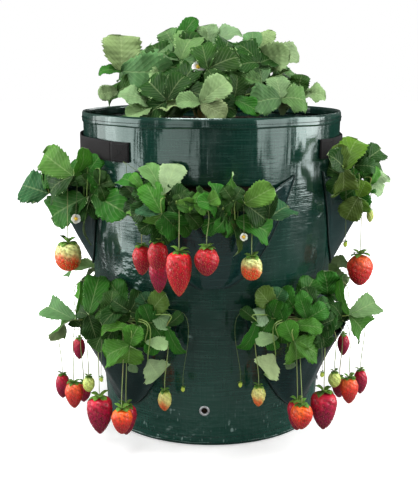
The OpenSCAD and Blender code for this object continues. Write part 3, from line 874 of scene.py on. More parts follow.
@dataclass
class BagForm:
    """Sizes of the bag and the surface of its wall."""

    height: float = 425.0
    top_r: float = 175.0
    base_r: float = 148.0
    corner_r: float = 7.0
    cloth: float = 1.2
    flare: float = 0.85
    gap: float = 0.3
    fold_height: float = 0.4
    pucker: float = 0.55
    seed: int = 11
    upper_tip: float = 212.0
    lower_tip: float = 40.0
    lower_az: float = 50.0
    pocket_h: float = 108.0
    lip_rise: float = 33.0
    mouth_half: float = 36.0
    pocket_depth: float = 50.0
    soil_drop: float = 9.0
    mix_drop: float = 15.0
    mix_crown: float = 6.0
    mix_r: float = 168.0
    strap_z: float = 382.0
    strap_w: float = 25.0
    handle_turn: float = 8.0
    pull: float = 25.0
    skin_margin: float = 6.0
    strap_margin: float = 8.0

    def wall_r(self, z: Array) -> Array:
        """Radius of the plain wall: a smooth step from base to rim over a rounded corner.

        Args:
            z: Heights.

        Returns:
            The radius at each.
        """
        t = np.clip(np.asarray(z, float) / self.height, 0, 1) ** self.flare
        c = np.maximum(0, self.corner_r - np.asarray(z, float))
        rise = self.base_r + (self.top_r - self.base_r) * eased(t)
        return rise - self.corner_r + np.sqrt(np.maximum(0, self.corner_r**2 - c * c))

    def folds(self, az: Array, z: Array) -> Array:
        """Soft folds: waves round the bag that lean as they climb, and puckers at the base.

        Args:
            az: Directions.
            z: Heights.

        Returns:
            How far the cloth stands off the plain wall.
        """
        rng, count = np.random.default_rng(self.seed), 18
        around = rng.integers(3, 23, count)
        lean, phase = rng.normal(0, 1.1, count), rng.uniform(0, 2 * np.pi, count)
        size = rng.uniform(0.4, 1.0, count) * (7 / around) ** 0.6
        a, h = np.radians(np.asarray(az, float)), np.asarray(z, float) / self.height
        slow = size * np.cos(around * a[..., None] + lean * 2 * np.pi * h[..., None] + phase)
        calm = 0.35 + 0.65 * np.sin(np.pi * np.clip(h, 0, 1)) ** 0.6
        band = np.exp(-(((np.asarray(z, float) - 8) / 6) ** 2))
        small = np.cos(96 * a + 2.5 * np.sin(7 * a)) * (0.6 + 0.4 * np.sin(5 * a + 1))
        return self.fold_height * slow.sum(-1) * calm + self.pucker * band * small

    def cloth_r(self, az: Array, z: Array) -> Array:
        """Radius of the folded wall's outer face."""
        return self.wall_r(z) + self.folds(az, z)

    def pocket_half(self, h: Array) -> Array:
        """Half angle of a pocket at a height above its tip."""
        return self.mouth_half * np.maximum(0.001, h / (self.pocket_h + self.lip_rise)) ** 0.45

    def bulge(self, u: Array, h: Array) -> Array:
        """How far a pocket stands off the wall, u from -1 to 1 across it."""
        return self.pocket_depth / self.pocket_h * h * (1 - np.minimum(1, np.abs(u)) ** 1.5)

    def swell(self, u: Array, h: Array) -> Array:
        """The bulge of the sewn cloth, drawn in towards its two corners by a smooth step."""
        return self.bulge(u, h) * (1 - 0.93 * eased(np.clip((np.abs(u) - 0.5) / 0.42, 0, 1)))

    def lip_h(self, u: Array) -> Array:
        """Height of a pocket's lip above its tip."""
        return self.pocket_h + self.lip_rise * np.asarray(u, float) ** 2

    def mix_z(self, r: Array) -> Array:
        """Height of the bag's soil, which sinks evenly from the middle."""
        return self.height - self.mix_drop - self.mix_crown * r / self.mix_r

    def skin_r(self, az: Array, z: float) -> Array:
        """How far the bag and its pockets reach in directions of the front right quarter.

        Args:
            az: The directions.
            z: Height.

        Returns:
            The farthest radius in each direction.
        """
        most = np.zeros_like(az)
        for turn, tip in ((0.0, self.upper_tip), (90.0, self.upper_tip), (self.lower_az, self.lower_tip)):
            h = z - tip
            if 0 < h <= self.pocket_h + self.lip_rise:
                u = (az - turn) / self.pocket_half(h)
                most = np.maximum(most, np.where(np.abs(u) < 1, self.bulge(u, min(h, self.pocket_h)), 0))
        return self.wall_r(z) + self.cloth + 0.8 + most

    def reach(self, x: float, z: float) -> float:
        """How far the bag or a pulled handle reaches to the front at a place seen from there.

        Args:
            x: Distance from the middle, to either side.
            z: Height.

        Returns:
            The distance forward.
        """
        strap, outer = 0.0, self.top_r + self.strap_margin
        if abs(z - self.strap_z) <= self.strap_w and self.top_r / 2 <= x <= outer + self.pull:
            strap = self.pull * math.sin(math.radians(self.handle_turn))
            strap += math.sqrt(max(0, outer**2 - max(0, x - self.pull) ** 2))
        az = np.arange(0, 88, 3.0)
        r, a = self.skin_r(az, z), np.radians(az)
        return max(strap, float(np.where(r * np.sin(a) > x - self.skin_margin, r * np.cos(a), 0).max()))


FORM = BagForm()
EYELET_Z = 49.0
EYELET_AZ = (-3.5, 86.5, 176.5, 266.5)
# Name, direction, height of the tip and number of each pocket.
POCKETS = [
    (f"pocket_upper_{side}", 90.0 * k, FORM.upper_tip, k)
    for k, side in enumerate(("front", "right", "back", "left"))
] + [
    (f"pocket_lower_{side}", az, FORM.lower_tip, 10 + k)
    for k, (side, az) in enumerate(
        (("front_right", 50.0), ("back_right", 130.0), ("back_left", 230.0), ("front_left", 310.0))
    )
]


@dataclass
class Shell:
    """Wall, hem, base and the seams that hold them."""

    finishes: Finishes
    slot_half: float = 18.0
    slot_low: float = 86.5
    slot_high: float = 130.0
    hole_r: float = 5.9
    hole_reach: float = 11.0
    hem_h: float = 11.0
    hem_t: float = 0.55
    seam_az: float = 156.0
    around: float = 2 * math.pi * 0.175

    def bores(self, angle: Array, height: Array) -> tuple[Array, Array]:
        """Spreads the grid round each eyelet, so that one face becomes its hole.

        Args:
            angle: Angles of the grid, in degrees.
            height: Its heights.

        Returns:
            Both, moved away from the eyelets.
        """
        arc = math.radians(1) * float(FORM.wall_r(EYELET_Z))
        nearest = math.hypot(arc / 2, 1.3)
        spread = (self.hole_reach - self.hole_r) / (self.hole_reach - nearest)
        for az in EYELET_AZ:
            off, up = ((angle - az + 180) % 360 - 180) * arc, height - EYELET_Z
            far = np.hypot(off, up)
            grown = np.where(far < self.hole_reach, self.hole_r + (far - nearest) * spread, far) / far
            angle, height = angle + off * (grown - 1) / arc, height + up * (grown - 1)
        return angle, height

    def wall(self) -> None:
        """Grid of one column to a degree. Row heights meet the cuts and the eyelets."""
        stops = [0.35, 2.0, 5.0, 16.0, 42.5, 55.5, 126.5, 170.0, 298.5, 342.0, 424.6]
        steps = [3, 3, 6, 8, 5, 20, 12, 34, 12, 22]
        runs = [np.linspace(a, b, n, endpoint=False) for a, b, n in zip(stops, stops[1:], steps)]
        z = np.concatenate(runs + [stops[-1:]])
        az = np.arange(360.0) + self.seam_az
        angle, height = self.bores(*np.meshgrid(az, z))
        r = FORM.cloth_r(angle, height)
        lowest = np.where(height < FORM.corner_r, FORM.wall_r(height), r)
        blend = np.clip(height / 14, 0, 1)
        r = lowest * (1 - blend) + r * blend
        uv = np.stack([np.radians(angle) * FORM.top_r, height], -1) * MM
        middle_z = (z[1:, None] + z[:-1, None]) / 2
        keep = np.ones((len(z) - 1, 360), bool)
        low, high, half = self.slot_low, self.slot_high, self.slot_half
        cuts = [(way, tip + low, tip + high, half) for _, way, tip, _ in POCKETS]
        cuts += [(way, EYELET_Z - 1, EYELET_Z + 1, 0.5) for way in EYELET_AZ]
        for way, low, high, half in cuts:
            off = (az + 0.5 - way + 180) % 360 - 180
            keep &= ~((np.abs(off)[None] < half) & (middle_z > low) & (middle_z < high))
        outer, inner = polar(angle, r, height), polar(angle, r - FORM.cloth, np.maximum(height, 1.5))
        skin = slab(outer, inner, uv, wrap=True, keep=keep)
        add_piece("bag_wall", skin, [self.finishes.wall], ["wall_panel"], around=self.around)

    def hem(self) -> None:
        """Folded strip over the wall's edge: its path climbs outside, turns over and drops inside."""
        angle, t = np.meshgrid(np.arange(360.0) + self.seam_az, np.linspace(0, 1, 13))
        turn = np.pi * np.clip((t - 0.35) / 0.3, 0, 1)
        climb = np.clip(np.minimum(t, 1 - t) / 0.35, 0, 1)
        half, a = FORM.cloth / 2 + FORM.gap, np.radians(angle)
        top = FORM.height - 2.5 + 0.5 * np.cos(a * 9 + 1)
        base = FORM.cloth_r(angle, FORM.height) - FORM.cloth / 2
        wave = 0.35 * np.cos(a * 31 + 3 * np.sin(a * 4))

        def path(extra: float) -> Array:
            """The strip's section, so far out from its inner face."""
            r = base + (half + extra) * np.cos(turn) + wave * (1 - climb) * np.sign(np.cos(turn) + 0.01)
            return polar(angle, r, top - self.hem_h * (1 - climb) + (half + extra) * np.sin(turn))

        uv = np.stack([a * FORM.top_r, FORM.height + t * 30], -1) * MM
        fold = slab(path(self.hem_t), path(0.05), uv, wrap=True)
        skin = join([fold, self.sewn(FORM.height - 8.2, 1.55, 3.6)])
        finishes = [self.finishes.wall, self.finishes.thread]
        add_piece("rim_hem_fold", skin, finishes, ["rim_hem"], around=self.around)

    def sewn(self, z: float, out: float, step: float) -> Skin:
        """Running stitch round the bag at one height.

        Args:
            z: Height of the line.
            out: How far the thread lies off the wall.
            step: Length of a stitch and its space.

        Returns:
            The stitches, as material number one.
        """
        count = int(2 * math.pi * FORM.wall_r(z) / step)
        az = np.arange(count) * 360 / count
        centres = polar(az, FORM.cloth_r(az, z) + out, z)
        return stitches(centres, sideways(az), outward(az), (step * 0.36, 0.4, 0.42))

    def base_seam(self) -> None:
        """Line of stitches through the puckered band, and the round welt that stands out below it."""
        az, radius, turn = np.arange(360.0), 0.85, circle(6)
        z = 4.2 + 0.5 * np.cos(np.radians(az) * 17)
        path = polar(az, FORM.wall_r(z) + 0.25, z)
        ring = np.cos(turn)[:, None, None] * outward(az) + np.sin(turn)[:, None, None] * UP
        uv = np.stack(np.meshgrid(np.linspace(0, 2 * np.pi * 150, 360), turn), -1) * MM
        welt = Skin.of(path + radius * ring, ring_faces(6, 360), uv)
        finishes = [self.finishes.wall, self.finishes.thread]
        add_piece("base_seam", join([welt, self.sewn(12.0, 0.1, 4.2)]), finishes)

    def build(self) -> None:
        """Makes the shell and dresses the solids that stay."""
        self.wall()
        self.hem()
        self.base_seam()
        for node in ("base_panel", "wall_seam_strip"):
            dress(node, self.finishes.wall)
        dress("base_seam_tape", self.finishes.piping)


@dataclass
class Pockets:
    """Eight tapered pockets with piped seams and a folded lip."""

    finishes: Finishes
    across: int = 44
    up: int = 40

    def surface(self, tip: float, az: float, seed: int, u: Array, h: Array, lift: float) -> Array:
        """A pocket's face: it leaves the wall along its seam and swells towards its lip.

        Args:
            tip: Height of the pocket's tip.
            az: Direction of its middle.
            seed: Which set of wrinkles.
            u: Place across, -1 to 1.
            h: Height above the tip.
            lift: Distance off the face.

        Returns:
            The points.
        """
        z, angle = tip + h, az + u * FORM.pocket_half(h)
        flat = polar(angle, FORM.wall_r(z), z)
        drag = clouds(flat * [1, 1, 0.45], 44, seed) + clouds(flat * [1, 1, 0.25], 17, seed + 1) * 0.35
        droop = -2.0 * np.clip((h / (FORM.pocket_h + FORM.lip_rise) - 0.75) * 4, 0, 1) * (1 - u * u)
        stand = 0.85 + FORM.swell(u, h) + (drag + droop) * (1 - np.abs(u) ** 4) + lift
        return polar(angle, FORM.cloth_r(angle, z) + stand, z)

    def pocket(self, name: str, az: float, tip: float, seed: int) -> None:
        """One pocket: panel, piping down both sides, a binding along the lip and a row of stitches.

        Args:
            name: Its CAD node.
            az: Direction of its middle.
            tip: Height of its tip.
            seed: Which set of wrinkles.
        """
        face = partial(self.surface, tip, az, seed)
        u, j = np.meshgrid(np.linspace(-1, 1, self.across + 1), np.linspace(0, 1, self.up + 1))
        h = 2 + j**1.5 * (FORM.lip_h(u) - 2)
        uv = np.stack([u * FORM.pocket_half(h) / RADIAN * 190 + az * 3.1, tip + h + 1000], -1) * MM
        side_h = np.concatenate([np.linspace(1, 0, 26), np.linspace(0, 1, 26)[1:]]) ** 1.4
        side_u = np.repeat([-1.0, 1.0], [26, 25])
        seam = face(side_u, 2 + side_h * (FORM.lip_h(1.0) - 2), 0.9)
        along, below = np.linspace(-1, 1, 41), np.linspace(-0.97, 0.97, 64)
        lip = face(along, FORM.lip_h(along) - 0.2, FORM.cloth / 2)
        row = face(below, FORM.lip_h(below) - 5.0, FORM.cloth + 0.12)
        thread = stitches(row, unit(np.gradient(row, axis=0)), unit(row * [1, 1, 0]), (1.3, 0.3, 0.35))
        panel = slab(face(u, h, FORM.cloth), face(u, h, 0.0), uv)
        skin = join([panel, tube(seam, 0.95, 6, INK, 1), tube(lip, 0.9, 8, INK), thread])
        finishes = [self.finishes.pocket, self.finishes.piping]
        add_piece(name + "_panel", skin, finishes, [name])

    def build(self) -> None:
        """Makes all eight."""
        for name, az, tip, number in POCKETS:
            self.pocket(name, az, tip, 40 + 2 * number)


@dataclass
class Handles:
    """Webbing loops at both sides. Each loop bends out of its sewn ends."""

    finishes: Finishes
    loop_half: float = 36.5
    patch: float = 10.5
    thick: float = 1.6
    bow: float = 2.2
    stitch: float = 2.6
    outer_r: float = 178.0

    def sag(self, az: Array) -> Array:
        """How far the webbing lies above its height, in a slow wave."""
        return 1.2 * np.sin(np.radians(az) * 3.0 + 0.6) + 0.5 * np.sin(np.radians(az) * 11)

    def stand(self, az: Array) -> Array:
        """Radius of the webbing's inner face: the wall below it, a gap and the folds it rides over."""
        wobble = np.maximum(0, FORM.folds(az, FORM.strap_z) * 0.6 + 0.5)
        return FORM.wall_r(FORM.strap_z + FORM.strap_w / 2) + FORM.gap + wobble

    def band(self, start: float, end: float, lift: Array) -> Skin:
        """Stretch of webbing, its edges a little rounded.

        Args:
            start: First direction.
            end: Last direction.
            lift: Distance off the wall at each column.

        Returns:
            The webbing.
        """
        across = np.array([-1, -0.97, -0.7, -0.35, 0, 0.35, 0.7, 0.97, 1.0])
        edge = np.array([0.35, 0.85, 1, 1, 1, 1, 1, 0.85, 0.35])[:, None]
        az, across = np.meshgrid(np.linspace(start, end, len(lift)), across)
        z = FORM.strap_z + self.sag(az) + across * FORM.strap_w / 2
        middle = self.stand(az) + self.thick / 2 + lift
        outer, inner = (polar(az, middle + side * self.thick / 2 * edge, z) for side in (1, -1))
        return slab(outer, inner, np.stack([z, np.radians(az) * FORM.top_r], -1) * MM)

    def sewing(self, start: float, end: float) -> Skin:
        """Stitched box with a cross through it on a sewn end.

        Args:
            start: First direction of the end.
            end: Its last direction.

        Returns:
            The stitches.
        """
        w, h, arc = 0.84, FORM.strap_w / 2 * 0.78, (end - start) / 2 / RADIAN * self.outer_r
        corners = np.array([[-w, -h], [w, -h], [w, h], [-w, h], [-w, -h], [w, h], [w, -h], [-w, h]])
        runs = []
        for a, b in zip(corners, corners[1:]):
            count = int(math.hypot((b[0] - a[0]) * arc, b[1] - a[1]) / self.stitch)
            t = (np.arange(count)[:, None] + 0.5) / count
            runs.append(np.concatenate([a + (b - a) * t, np.broadcast_to(b - a, (count, 2))], 1))
        rows = np.concatenate(runs)
        az = (start + end) / 2 + rows[:, 0] * (end - start) / 2
        centres = polar(az, self.stand(az) + self.thick + 0.1, FORM.strap_z + self.sag(az) + rows[:, 1])
        heading = unit(sideways(az) * rows[:, 2:3] * arc + UP * rows[:, 3:4])
        return stitches(centres, heading, outward(az), (1.05, 0.35, 0.38))

    def handle(self, side: str, middle: float) -> None:
        """One handle: two sewn ends, and two half loops that bend away from them.

        Args:
            side: Left or right.
            middle: Direction of its middle.
        """
        ends, webbing = [], self.finishes.webbing
        for sign in (-1, 1):
            start, end = sorted(middle + sign * (self.loop_half + more) for more in (0.1, self.patch))
            ends += [self.band(start, end, np.zeros(10)), self.sewing(start, end)]
        finishes = [webbing, self.finishes.thread]
        add_piece(f"handle_{side}_sewn_ends", join(ends), finishes, [f"handle_{side}_ends"])
        lift = self.bow * np.sin(np.linspace(0, 1, 46) * np.pi / 2) ** 2
        ahead = 1 if middle > 180 else -1
        for name, sign in (("front", ahead), ("back", -ahead)):
            start = middle + sign * self.loop_half
            skin = self.band(middle, start, lift[::-1]) if sign > 0 else self.band(start, middle, lift)
            stands = [f"handle_{side}_strap"] if name == "front" else []
            piece = add_piece(f"handle_{side}_loop_{name}", skin, [webbing], stands, None)
            seam, rest = polar(np.array([start, middle]), FORM.top_r, FORM.strap_z) * MM
            along = sideways(middle)
            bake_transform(piece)

    def build(self) -> None:
        """Makes both handles."""
        self.handle("left", 270.0 + FORM.handle_turn)
        self.handle("right", 90.0 + FORM.handle_turn)


@dataclass
class Eyelets:
    """Pressed drain eyelets: a rolled flange outside and a washer inside."""

    finishes: Finishes
    bore: float = 4.0
    flange: float = 6.75
    sides: int = 48

    def build(self) -> None:
        """Each flange is a half-round roll turned about its own axis, running into the neck."""
        t, turn = np.linspace(0, np.pi, 9), circle(self.sides)[None, :, None]
        mid, half, wide = (self.bore + self.flange) / 2, (self.flange - self.bore) / 2, self.bore + 0.5
        neck = [self.bore, self.bore, wide, wide, mid, self.flange]
        radius = np.concatenate([mid + half * np.cos(t), neck])[:, None, None]
        out = np.concatenate([0.35 + 0.95 * np.sin(t), [0.0, -2.1, -2.1, -0.2, 0.15, 0.15]])[:, None, None]
        parts = []
        for az in EYELET_AZ:
            stand = FORM.wall_r(EYELET_Z) + 0.55 + max(0, float(FORM.folds(az, EYELET_Z)))
            ring = radius * (np.cos(turn) * sideways(az) + np.sin(turn) * UP) + out * outward(az)
            parts.append(Skin.of(polar(az, stand, EYELET_Z) + ring, ring_faces(len(radius), self.sides)))
        add_piece("eyelet_flanges", join(parts), [self.finishes.metal], ["eyelets"])
        dress("eyelet_washers", self.finishes.metal)


@dataclass
class Soil:
    """Potting mix in the bag's mouth and in the pockets."""

    finishes: Finishes
    gap: float = 2.2
    sides: int = 128
    rings: int = 34
    lumps: int = 700
    lump_r: float = 164.0

    def bag_soil(self) -> Skin:
        """Turned body that fills the bag, its top rough with clumps.

        Returns:
            The body.
        """
        top, share, turn = FORM.mix_z(FORM.mix_r), np.linspace(0.03, 1, self.rings), circle(self.sides)
        down_z, inset = np.linspace(top - 2, 6, 10), FORM.cloth + self.gap
        r = np.concatenate([share * (FORM.wall_r(top) - inset), FORM.wall_r(down_z) - inset])[:, None]
        z = np.concatenate([top + FORM.mix_crown * (1 - share), down_z])[:, None]
        ring = np.stack([r * np.cos(turn), r * np.sin(turn), z * np.ones(self.sides)], -1)
        rough = clouds(ring, 26, 5) * 1.6 + clouds(ring, 9, 6) * 0.9
        ring[: self.rings, :, 2] += rough[: self.rings]
        points = np.concatenate([[UP * (top + FORM.mix_crown)], ring.reshape(-1, 3), [UP * 5]])
        return Skin.of(points, ball_faces(len(r), self.sides))

    def pocket_soil(self, tip: float, az: float, seed: int) -> Skin:
        """Level filling of one pocket, a little inside its panel.

        Args:
            tip: Height of the pocket's tip.
            az: Direction of its middle.
            seed: Which set of clumps.

        Returns:
            The filling.
        """
        u, w = np.meshgrid(np.linspace(-0.86, 0.86, 25), np.linspace(0, 1, 11))

        def layer(h: float, rough: float) -> Array:
            """A level face of the filling.

            Args:
                h: Height above the tip.
                rough: Share of the clumps.

            Returns:
                The points.
            """
            out = np.maximum(0.6, FORM.swell(u, h) - 3.4)
            r = FORM.wall_r(tip + h) + 1.2 + (1 - w) * out - 3 * w
            p = polar(az + u * FORM.pocket_half(h), r, tip + h)
            p[..., 2] += rough * (clouds(p, 15, seed) + clouds(p, 6, seed + 1) * 0.6)
            return p

        top, foot = layer(FORM.pocket_h - FORM.soil_drop, 1.0), layer(FORM.pocket_h * 0.35, 0.0)
        return slab(top, foot, np.stack([u, w], -1) * 0.1)

    def crumbs(self) -> Skin:
        """Loose lumps on the bag's soil, their directions right-handed so that they face outward.

        Returns:
            The lumps.
        """
        rng = np.random.default_rng(21)
        r = self.lump_r * np.sqrt(rng.uniform(0, 1, self.lumps))
        az = rng.uniform(0, 360, self.lumps)
        axes = unit(rng.normal(size=(3, self.lumps, 3)))
        axes[2] *= np.sign(np.linalg.det(np.moveaxis(axes, 0, 1)))[:, None]
        size = rng.uniform(0.8, 2.6, (self.lumps, 1))
        centres = polar(az, r, FORM.mix_z(r) + 0.8)
        return scatter(bead(2, 5), centres, (axes[0] * size, axes[1] * size * 0.8, axes[2] * size * 0.9))

    def build(self) -> None:
        """Makes both fillings."""
        parts = [self.pocket_soil(tip, az, 70 + number) for _, az, tip, number in POCKETS]
        full, mix = join([self.bag_soil(), self.crumbs()]), [self.finishes.soil]
        add_piece("bag_soil", full, mix, ["potting_mix"])
        add_piece("pocket_soil", join(parts), mix, ["pocket_mix"])


# The plants


class Tone(Enum):
    """Colours of a leaflet's upper face. DARK and SHADE are partly the leaves' own deeper green and partly
    painted shade, for leaves that lie under others.
    """

    LIME = "5A8C32"
    BRIGHT = "427F22"
    MID = "2A6A18"
    DARK = "1A460D"
    BLUE = "2F6038"
    SILVER = "7EA072"
    PALE = "A6C48E"
    OLIVE = "4C6824"
    TOP = "8AA870"
    MOSS = "5E8850"
    SHADE = "264E14"
    MEADOW = "5A8420"
    SAGE = "5E8E4E"


class Ripeness(Enum):
    """Colours of a berry at its shoulder, its middle and its tip, and of its seeds. The dark tips of the ripe
    colours are partly the berries' own deeper red and partly painted shade on their lower side.
    """

    HALF = ("D8E090", "E8A050", "D83C14", "C9B45A")
    RED = ("D0222A", "BC0C22", "8E0A2E", "CC6A40")
    SCARLET = ("D6282A", "C40E22", "B40C26", "CC6A40")
    DEEP = ("C42034", "A80C38", "860C3A", "9E4A34")
    ORANGE = ("E46434", "DC3A26", "BC1C30", "CC6A40")
    SUNSET = ("F06A1E", "E63C14", "A80E30", "CC6A40")
    GREEN = ("C6D874", "CCDC7C", "BCCC66", "C9B45A")
    YOUNG = ("C0D068", "D4D07C", "DC5224", "C9B45A")


LIME, BRIGHT, MID, DARK, BLUE, SILVER, PALE, OLIVE, TOP, MOSS, SHADE, MEADOW, SAGE = Tone
HALF, RED, SCARLET, DEEP, ORANGE, SUNSET, GREEN, YOUNG = Ripeness


@dataclass(frozen=True)
class Growth:
    """What a kind of plant carries, in millimetres from its middle: across, outward and up.

    A leaf is its hub and then its leaflets: tip, width, tone and sometimes a roll. A berry has its
    top, width, height, the power that places its widest part, and its colours. A bud has its top and
    size. A filling spray has its hub, size and heading.
    """

    leaves: list[tuple]
    berries: Sequence[tuple] = ()
    buds: Sequence[tuple] = ()
    filling: Sequence[tuple] = ()
    flower: Optional[Spot] = None


SIDE = Growth(
    leaves=[
        ((-12, 20, 19), (-53, 50, 43, 30, LIME), (5, 12, 54, 18, BRIGHT, 55), (-45, 36, -9, 32, DARK, 10)),
        ((-51, 34, -9), (-86, 30, 0, 35, BLUE), (-54, 24, 34, 18, DARK, 20)),
        ((3, 12, -8), (-50, 24, -42, 36, MID)),
        ((11, 12, -4), (53, 10, -20, 32, MID), (1, 12, -71, 13, OLIVE, 50), (22, 8, 18, 12, MID, 30)),
    ],
    berries=[(-24, 24, -70, 37, 37, 0.85, HALF)],
    buds=[(-11, 30, -42, 12)],
    filling=[
        (-20, 12, 6, 34, -20), (6, 16, 24, 28, 40), (22, 14, 10, 24, 80), (-2, 8, -14, 32, 120),
        (-34, 12, 14, 30, -100), (8, 8, 2, 28, 60),
    ],
    flower=(-11, 30, -42),
)
FRONT = Growth(
    leaves=[
        ((2, 16, 20), (-20, 10, 48, 22, SAGE), (15, 12, 50, 24, PALE)),
        ((-23, 18, 24), (-54, 14, 27, 15, MID), (-37, 10, 38, 10, BRIGHT)),
        (
            (0, 24, -2), (-18, 12, 28, 22, BRIGHT), (-24, 26, 5, 24, BLUE, 10),
            (-38, 14, 1, 24, LIME, -15), (-20, 14, -32, 26, LIME), (19, 14, -25, 26, MID),
        ),
        ((17, 16, 10), (37, 14, 14, 12, LIME, 20), (33, 16, 5, 9, BRIGHT)),
        (
            (53, 14, 14), (37, 12, 19, 10, BRIGHT), (65, 12, 19, 14, LIME), (43, 16, 3, 13, BRIGHT),
            (63, 10, -3, 8, MID),
        ),
    ],
    berries=[
        (-27, 14, -50, 25, 36, 0.68, RED), (-6, 15, -39, 26, 40, 0.7, RED),
        (-5, 12, -61, 24, 41, 0.6, DEEP), (20, 23, -46, 33, 52, 0.56, SCARLET),
        (52, 18, -40, 29, 33, 0.8, RED),
    ],
    buds=[(-46, 14, 34, 6), (-42, 14, 19, 6)],
    filling=[
        (-10, 10, 4, 34, -30), (8, 8, 8, 30, 50), (-32, 8, 10, 28, -60), (28, 8, 0, 28, 70),
        (-4, 10, -12, 32, 170), (46, 8, 8, 26, 20), (14, 8, -6, 30, 140), (64, 8, 8, 30, 10),
        (74, 6, -4, 26, 150),
    ],
)
RIGHT = Growth(
    leaves=[
        (
            (-20, 12, 10), (-28, 10, 38, 18, OLIVE), (0, 10, 42, 28, MEADOW),
            (-38, 8, 27, 24, DARK, -20), (-16, 10, -24, 28, OLIVE),
        ),
        ((11, 20, 14), (38, 20, 26, 22, DARK), (9, 16, 36, 12, DARK)),
        ((6, 26, -31), (-8, 30, -58, 24, OLIVE), (14, 32, -54, 18, MEADOW), (14, 34, -12, 16, MEADOW)),
        ((22, 30, -17), (46, 30, -7, 16, PALE), (42, 28, -28, 14, PALE), (32, 34, 4, 10, BRIGHT, 30)),
    ],
    berries=[(14, 24, -112, 36, 41, 0.8, ORANGE), (28, 20, -54, 10, 17, 0.8, GREEN)],
    buds=[(-8, 12, -91, 8)],
    filling=[
        (-2, 8, 10, 32, 10), (8, 8, -20, 30, 160), (-16, 8, -4, 30, -70), (20, 10, -4, 28, 70),
        (15, 6, -9, 26, 10),
    ],
)
LOWER = Growth(
    leaves=[
        (
            (-63, 26, 7), (-104, 24, 9, 24, MOSS), (-86, 34, -27, 30, BRIGHT, 10),
            (-62, 20, 44, 12, BRIGHT, 40),
        ),
        ((-43, 18, 18), (-37, 18, 50, 25, MID), (-35, 22, -9, 20, DARK), (-58, 12, 16, 14, DARK)),
        ((0, 16, 20), (-19, 14, 46, 24, MID), (-21, 24, 14, 18, DARK)),
        ((9, 20, 4), (-24, 26, -1, 17, BRIGHT, 20)),
        ((10, 30, -14), (20, 26, 9, 20, BRIGHT), (6, 28, -41, 28, LIME), (-20, 28, -35, 26, BRIGHT)),
        ((34, 14, 20), (22, 12, 41, 18, BLUE), (51, 14, 43, 22, OLIVE), (57, 16, 9, 18, SILVER)),
        ((55, 18, 9), (72, 14, 21, 12, DARK), (73, 12, -30, 14, MID, 40)),
        ((28, 22, -12), (54, 22, -15, 14, PALE)),
        ((31, 26, -35), (43, 28, -60, 29, PALE)),
        ((14, 14, -38), (9, 12, -62, 10, SILVER)),
    ],
    berries=[
        (-91, 12, -88, 20, 33, 0.75, DEEP), (-66, 52, -76, 24, 34, 0.66, ORANGE),
        (-57, 6, -85, 20, 26, 0.7, DEEP), (-46, 20, -66, 17, 20, 0.85, GREEN),
        (-32, 22, -90, 36, 49, 0.56, DEEP), (-1, 42, -94, 28, 32, 0.66, SUNSET),
        (2, 14, -99, 27, 39, 0.58, DEEP), (51, 14, -80, 19, 26, 0.75, YOUNG),
    ],
    buds=[(74, 14, -74, 7), (-27, 34, -57, 7)],
    filling=[
        (-16, 8, 20, 28, 10), (8, 8, 22, 30, 30), (34, 8, 10, 28, 70), (-24, 10, -2, 30, 200),
        (2, 10, -10, 32, 170), (40, 8, -8, 28, 120), (-8, 8, 8, 30, -60), (20, 8, 4, 30, 100),
        (-56, 10, -2, 26, 20),
    ],
)
TOP_FRONT = Growth(
    leaves=[
        (
            (-77, -80, 10), (-115, -85, 24, 28, TOP), (-73, -60, 42, 12, TOP, 30),
            (-44, -90, 14, 26, TOP), (-103, -100, -2, 22, TOP),
        ),
        ((-14, -100, 14), (19, -90, 38, 26, TOP), (-42, -110, 14, 18, TOP), (15, -115, 0, 22, TOP)),
        ((29, -70, 18), (33, -60, 46, 24, SHADE), (60, -85, 2, 18, MID), (5, -75, 30, 20, SHADE)),
        ((89, -70, 18), (54, -80, 12, 32, MOSS), (121, -65, 14, 36, MOSS), (84, -50, 44, 24, TOP)),
    ],
)
TOP_MIDDLE = Growth(
    leaves=[
        ((-120, -20, 52), (-122, 0, 96, 40, TOP), (-55, -40, 54, 38, MOSS), (-149, -15, 50, 14, MID)),
        ((-125, -20, 26), (-149, -25, 22, 16, TOP), (-98, -30, 34, 26, SHADE)),
        ((-51, -30, 53), (-14, -15, 93, 34, SHADE), (-62, -50, 31, 36, TOP), (-78, -10, 84, 26, SHADE)),
        ((7, -20, 39), (12, 0, 84, 32, SHADE), (30, -20, 60, 22, SHADE), (-20, -30, 40, 22, MID)),
        ((54, 0, 71), (20, -10, 74, 24, MOSS), (56, 20, 102, 20, MOSS), (101, -10, 74, 30, TOP)),
        ((118, 0, 18), (152, -5, 18, 30, TOP), (122, 0, 45, 22, SHADE)),
    ],
)
TOP_BACK = Growth(
    leaves=[
        ((-2, 60, 86), (-32, 60, 104, 24, TOP), (-8, 70, 112, 24, TOP), (39, 60, 100, 26, TOP)),
        ((-50, 60, 80), (-64, 70, 105, 26, MOSS), (-24, 65, 121, 18, MID), (-86, 50, 70, 22, SHADE)),
        ((70, 55, 78), (84, 60, 105, 20, TOP), (118, 45, 66, 24, TOP), (50, 70, 92, 20, TOP)),
        ((-90, 70, 30), (-120, 80, 52, 30, TOP), (-60, 90, 44, 28, MID), (-100, 105, 22, 26, MOSS)),
        ((0, 100, 34), (-26, 115, 52, 28, MID), (30, 115, 50, 28, MOSS), (0, 140, 26, 26, TOP)),
        ((85, 75, 30), (118, 85, 46, 28, MOSS), (60, 100, 40, 26, MID), (92, 110, 18, 24, TOP)),
    ],
)


